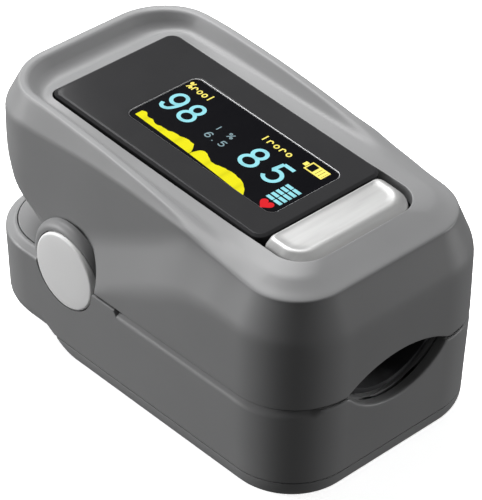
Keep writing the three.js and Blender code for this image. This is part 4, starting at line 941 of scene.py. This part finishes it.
def nine(flip=False):
    """The strokes of a 9, or of a 6 when it is turned over, in a unit cell."""
    tail = [(0.90, 0.70), (0.88, 0.50), (0.78, 0.26), (0.60, 0.08), (0.38, 0.03), (0.18, 0.09),
            (0.10, 0.22)]
    at = np.linspace(0, 6, 20)
    strokes = [round_shape((0.50, 0.69), (0.40, 0.28)),
               (np.column_stack([along(at, *enumerate(p)) for p in zip(*tail)]), False)]
    return [(1 - line, shut) for line, shut in strokes] if flip else strokes


GLYPHS = {
    "9": nine(), "6": nine(flip=True),
    "8": [round_shape((0.50, 0.745), (0.33, 0.225)), round_shape((0.50, 0.275), (0.42, 0.25))],
    "5": [open_line((0.88, 0.97), (0.24, 0.97), (0.16, 0.54)),
          (arc((0.47, 0.32), (0.42, 0.29), 140, -150), False)],
    ".": [open_line((0.3, 0.02), (0.5, 0.02))],
    "ring": [round_shape((0.5, 0.34), (0.33, 0.28))],
    "post": [open_line((0.5, 0.0), (0.5, 0.96))],
    "arch": [open_line((0.2, 0.0), (0.2, 0.62)), (arc((0.52, 0.36), (0.32, 0.28), 150, 0), False)],
    "slash": [open_line((0.15, 0.0), (0.85, 1.0)), round_shape((0.2, 0.8), (0.16, 0.16)),
              round_shape((0.8, 0.2), (0.16, 0.16))],
}


def write(characters, places, v, width, height, weight):
    """Glyphs at those places along u, standing on v, as a list of strips. Corners of a line are
    drawn as separate straight strokes, so that they stay square."""
    strips = []
    for character, u in zip(characters, places):
        for line, shut in GLYPHS[character]:
            line = np.array([u, v]) + line * np.array([width, height])
            if len(line) < 5:
                strips += [stroke(line[k:k + 2], weight) for k in range(len(line) - 1)]
            else:
                strips.append(stroke(line, weight, shut))
    return strips


def lit_piece(name, strips, material, lift=0.012):
    """One thin piece from strips in window coordinates, laid on the glass."""
    points, faces = [], []
    for left, right in strips:
        count = len(left)
        uv = np.vstack([left, right])
        y = WINDOW_Y[1] - uv[:, 0]
        top = np.column_stack([WINDOW_X[0] + uv[:, 1], y, lens_top(y) - GLASS_DEPTH + lift])
        base = sum(len(p) for p in points)
        points += [top, top - np.array([0, 0, lift * 0.8])]
        shift = 2 * count
        for k in range(count - 1):
            a, b, c, d = base + k, base + k + 1, base + count + k + 1, base + count + k
            faces += [(a, b, c, d), (a + shift, d + shift, c + shift, b + shift),
                      (a, a + shift, b + shift, b), (d, c, c + shift, d + shift)]
    piece = mesh_from(name, np.vstack(points), faces)
    return place(piece, "upper", "panel_glass", material=material)


print("glyphs:", ", ".join(GLYPHS))

# %% Numbers, pulse wave, bars, heart and battery
numbers = (write("98", (1.0, 4.3), 4.75, 2.6, 4.15, 0.56)
           + write("85", (16.3, 20.6), 4.45, 2.9, 4.25, 0.58))
for k in range(5):
    v = 2.55 + 0.83 * k
    numbers += [stroke([(24.5, v), (25.65, v)], 0.55), stroke([(25.8, v), (27.05, v)], 0.55)]
lit_piece("display_numbers", numbers, cyan_light)
lit_piece("display_index", write(("post", "slash"), (9.7, 12.0), 6.9, 1.0, 1.0, 0.16)
          + write(("6", ".", "5"), (9.9, 11.2, 12.5), 4.85, 0.95, 1.15, 0.17), pale_light)

wave_top = ((1.0, 1.25), (1.7, 1.45), (2.4, 0.95), (3.3, 1.05), (4.2, 0.72), (5.2, 0.95),
            (6.3, 1.05), (7.3, 1.40), (8.2, 1.50), (9.6, 1.85), (10.6, 1.80), (11.3, 1.1),
            (11.75, 0.45),
            (12.2, 1.55), (12.9, 1.90), (13.8, 1.65), (15.0, 1.15), (16.2, 1.45), (17.2, 1.75),
            (18.6, 1.95), (20.0, 1.85), (21.0, 1.5), (21.8, 0.95), (22.6, 0.02))
wave = []
for low, high in ((1.0, 11.74), (11.84, 22.6)):
    u = np.linspace(low, high, 90)
    ripple = 0.05 * np.sin(u * 5.1) * np.sin(u * 1.7)
    base = along(u, (1.0, 0.75), (12, 0.45), (22.6, -0.15)) + 0.25
    wave.append((np.column_stack([u, base + np.maximum(along(u, *wave_top) + ripple, 0.02)]),
                 np.column_stack([u, base])))
lit_piece("display_wave", wave, yellow_light)

cell_frame = ((23.3, 10.1, 26.5, 10.1), (23.3, 11.7, 26.5, 11.7),
              (26.4, 10.0, 26.4, 11.8), (23.4, 10.0, 23.4, 11.8))
cell_mark = [stroke([(a, b), (c, d)], 0.22) for a, b, c, d in cell_frame]
cell_mark.append(stroke([(22.9, 10.5), (22.9, 11.3)], 0.6))
cell_mark += [stroke([(u, 10.2), (u, 11.6)], 0.46) for u in (24.9, 25.45, 26.0)]
labels = (write(("slash", "arch", "ring", "ring", "post"), (0.45, 1.4, 2.35, 3.3, 4.25), 10.3,
                0.85, 1.35, 0.2)
          + write(("post", "arch", "ring", "arch", "ring"), (15.1, 16.25, 17.4, 18.55, 19.7), 10.0,
                  0.95, 1.25, 0.2))
lit_piece("display_labels", labels + cell_mark, label_light)

turn = np.linspace(0, 2 * pi, 60)
heart = np.column_stack([16 * np.sin(turn) ** 3, 13 * np.cos(turn) - 5 * np.cos(2 * turn)
                         - 2 * np.cos(3 * turn) - np.cos(4 * turn)]) / 32
heart = np.array([25.7, 1.15]) + heart * np.array([2.1, 2.2])
lit_piece("display_heart", [(heart, np.repeat(heart.mean(0)[None], 60, axis=0))], red_light)

# %% [markdown]
# ## Pads, springs and ribbon
# The pads line the finger channel, so they are copies of their solids with soft edges. The springs
# are swept along a helix with a leg at each end, and the ribbon that joins the two sensor halves
# behind the pin is swept along its bends. Both stay where they are made.

# %% Soft edges on a solid
WELD_GAP = 0.00002


def soften_edges(piece, width, segments, sharpest):
    """Welds the loose triangles of a solid, and rounds the edges that turn by more than the
    angle by that many millimetres."""
    piece.modifiers.new("weld", "WELD").merge_threshold = WELD_GAP
    bevel = piece.modifiers.new("soft edges", "BEVEL")
    bevel.width, bevel.segments = width * MM, segments
    bevel.limit_method, bevel.angle_limit = "ANGLE", radians(sharpest)
    piece.data.shade_smooth()
    return bevel


# %% Silicone pads
def softened(node, name, body, slot, material, width, segments=3):
    """A copy of a CAD solid whose edges are rounded by that many millimetres."""
    piece = bpy.data.objects.new(name, frame["nodes"][node].data.copy())
    bpy.context.scene.collection.objects.link(piece)
    piece.data.materials.clear()
    piece.data.materials.append(material)
    soften_edges(piece, width, segments, 35).harden_normals = True
    return place(piece, body, slot, node)


for node, body in (("lower_finger_pad", "lower"), ("upper_finger_pad", "upper")):
    softened(node, node + "_soft", body, "silicone", silicone.material, 0.2)

# %% Springs and ribbon
def sweep(name, path, section, first):
    """A section carried along a path without twist: at each step the frame is turned only as far
    as the path turns. first is a direction across the path at its start."""
    path = np.array(path, float)
    ahead = np.gradient(path, axis=0)
    ahead /= np.linalg.norm(ahead, axis=1)[:, None]
    across, rows = np.array(first, float), []
    for here, way in zip(path, ahead):
        across = across - way * across.dot(way)
        across /= np.linalg.norm(across)
        other = np.cross(way, across)
        rows.append([here + across * a + other * b for a, b in section])
    return skin(name, np.array(rows), closed=False, caps=True)


def round_section(radius, sides=12):
    """Points of a circle, for a wire."""
    turn = np.linspace(0, 2 * pi, sides, endpoint=False)
    return np.column_stack([radius * np.cos(turn), radius * np.sin(turn)])


def follow_both(piece, node, material, low, high):
    """Puts a flexible piece in place of its solid. The places low and high are not used: the piece
    stays where it is made and follows neither half."""
    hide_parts(node)
    piece.data.materials.append(material)
    start, end = ((0, y * MM, z * MM) for y, z in (low, high))
    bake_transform(piece)


WIRE, COIL, TURNS, FROM_MIDDLE = 0.3, 2.0, 4, 4.4
LOWER_LEG, UPPER_LEG = 8.5, 12.0
rise = atan(WEDGE_SLOPE) + 0.03
run = np.linspace(0, 2 * pi * TURNS - pi - rise, 260)
pitch = 2 * WIRE * 1.12 / (2 * pi)
for side, name in ((-1, "left"), (1, "right")):
    legs_low = [(0, LOWER_LEG * s, -COIL) for s in np.linspace(1, 0.03, 16)]
    coil = [(pitch * r, COIL * cos(-pi / 2 - r), COIL * sin(-pi / 2 - r)) for r in run]
    legs_high = [(pitch * run[-1], -COIL * sin(rise) + UPPER_LEG * s * cos(rise),
                  COIL * cos(rise) + UPPER_LEG * s * sin(rise)) for s in np.linspace(0.03, 1, 20)]
    path = [(side * (FROM_MIDDLE + WIRE + x), HINGE_Y + y, HINGE_Z + z)
            for x, y, z in legs_low + coil + legs_high]
    spring = sweep("spring_" + name, path, round_section(WIRE), (1, 0, 0))
    spring.data.shade_smooth()
    follow_both(spring, "torsion_spring_" + name, steel,
                (HINGE_Y, HINGE_Z - 1.6), (HINGE_Y, HINGE_Z + 1.8))

flex_low, flex_high = corners("flex_cable")
thick = 0.2
low_z, high_z, far_y = flex_low[2] + thick / 2, flex_high[2] - thick / 2, flex_high[1] - thick / 2
bend = 1.1
path = [(y, low_z) for y in np.linspace(flex_low[1], far_y - bend, 16)]
bent = np.linspace(0.15, pi / 2, 9)
path += [(far_y - bend + bend * sin(t), low_z + bend - bend * cos(t)) for t in bent]
path += [(far_y, z) for z in np.linspace(low_z + bend, high_z - bend, 16)[1:]]
path += [(far_y - bend + bend * cos(t), high_z - bend + bend * sin(t)) for t in bent]
path += [(y, high_z) for y in np.linspace(far_y - bend, far_y - 6.8, 8)[1:]]
w = flex_high[0]
flex = sweep("ribbon", [(0, y, z) for y, z in path],
             [(-w, -thick / 2), (w, -thick / 2), (w, thick / 2), (-w, thick / 2)], (1, 0, 0))
smooth(flex, 40)
follow_both(flex, "flex_cable", ribbon.material, (far_y, 11), (far_y, 25))

# %% [markdown]
# ## The solids that stay
# Frames, boards, chips, contacts, screws and cells keep their CAD shape. A bevel softens the edges
# that a mould or a press would soften, after the loose triangles have been welded.

# %% Finishes for the remaining solids
FINISHES = {
    "frame": frame_plastic, "battery_l": jacket.material, "battery_r": jacket.material,
    "contact": nickel, "photodiode": package, "window": clear.material, "pin": steel,
    "screw": steel,
    "panel": panel_glass.material, "board": solder_mask.material, "chip": package,
    "crystal": nickel, "connector": connector_nylon, "switch": nickel, "led": clear.material,
}
shown = [name for name, node in frame["nodes"].items() if not node.hide_render]
for name in shown:
    key = next((k for k in FINISHES if k in name), None)
    node = frame["nodes"][name]
    node.data.materials.clear()
    node.data.materials.append(FINISHES[key] if key else case_plastic)
    soften_edges(node, 0.08, 2, 40)
    node.modifiers.new("even normals", "WEIGHTED_NORMAL").keep_sharp = True
    print(name, "->", node.data.materials[0].name)

# %% [markdown]
# ## Floor, camera and lights
# A pale floor fills the view. The camera looks down at the front corner with a long lens. A broad
# light over the hinge whitens the crest of the rim, and a softer one on either side leaves the
# corner towards the camera in shade.

# %% Floor
FLOOR_GLOW, FLOOR_SIZE, FLOOR_DROP = 0.85, 4, 0.0002
bpy.ops.mesh.primitive_plane_add(size=FLOOR_SIZE, location=(0, 0, -FLOOR_DROP))
floor = bpy.context.object
floor.name = "floor"
paper = Finish("floor paper", Specular_IOR_Level=0.1, Emission_Strength=FLOOR_GLOW)
grain = paper.noise(0.02, 2)
paper.use(Base_Color=paper.mix(grain, shade(0.86, 0.86, 0.86), shade(0.90, 0.90, 0.90)),
          Emission_Color=paper.mix(grain, shade(1, 1, 1), shade(1, 1, 1, 0.99)),
          Roughness=0.8 + grain * 0.1)
floor.data.materials.append(paper.material)
floor.visible_diffuse = False
floor.visible_glossy = False

# %% Camera
lens_data = bpy.data.cameras.new("camera")
camera = bpy.data.objects.new("camera", lens_data)
bpy.context.scene.collection.objects.link(camera)
bpy.context.scene.camera = camera
lens_data.lens, lens_data.sensor_width = 202.284, 36
lens_data.clip_start, lens_data.clip_end = 0.01, 20
lens_data.dof.use_dof = False
eye = Vector((-0.2036917, -0.2175009, 0.2407427))
right = Vector((0.73304693, -0.68004369, 0.01351954))
up = Vector((0.40124342, 0.44839546, 0.79871473))
back = Vector((-0.54922302, -0.58007076, 0.60155797))
camera.matrix_world = Matrix.LocRotScale(eye, Matrix((right, up, back)).transposed(), None)
print("camera", round(eye.length, 3), "m from the origin")

# %% Lights
AMBIENT = 0.13
LIGHTS = [
    ("over the hinge", (0.08, 0.30, 0.50), (0.40, 0.40), 6.9),
    ("left", (-0.36, 0.42, 0.08), (0.22, 0.30), 3.9),
    ("right", (0.48, -0.36, 0.03), (0.20, 0.26), 2.9),
]
world = bpy.data.worlds.new("world")
bpy.context.scene.world = world
world.use_nodes = True
world.node_tree.nodes["Background"].inputs["Color"].default_value = (1, 1, 1, 1)
world.node_tree.nodes["Background"].inputs["Strength"].default_value = AMBIENT
aim = Vector((0, 0, 0.018))
for name, at, size, watts in LIGHTS:
    data = bpy.data.lights.new(name, "AREA")
    data.shape, data.size, data.size_y, data.energy = "RECTANGLE", size[0], size[1], watts
    light = bpy.data.objects.new(name, data)
    bpy.context.scene.collection.objects.link(light)
    light.location = at
    light.rotation_euler = (Vector(at) - aim).to_track_quat("Z", "Y").to_euler()
    print(name, watts, "W")
bpy.context.scene.view_settings.view_transform = "Standard"
bpy.context.scene.view_settings.look = "None"
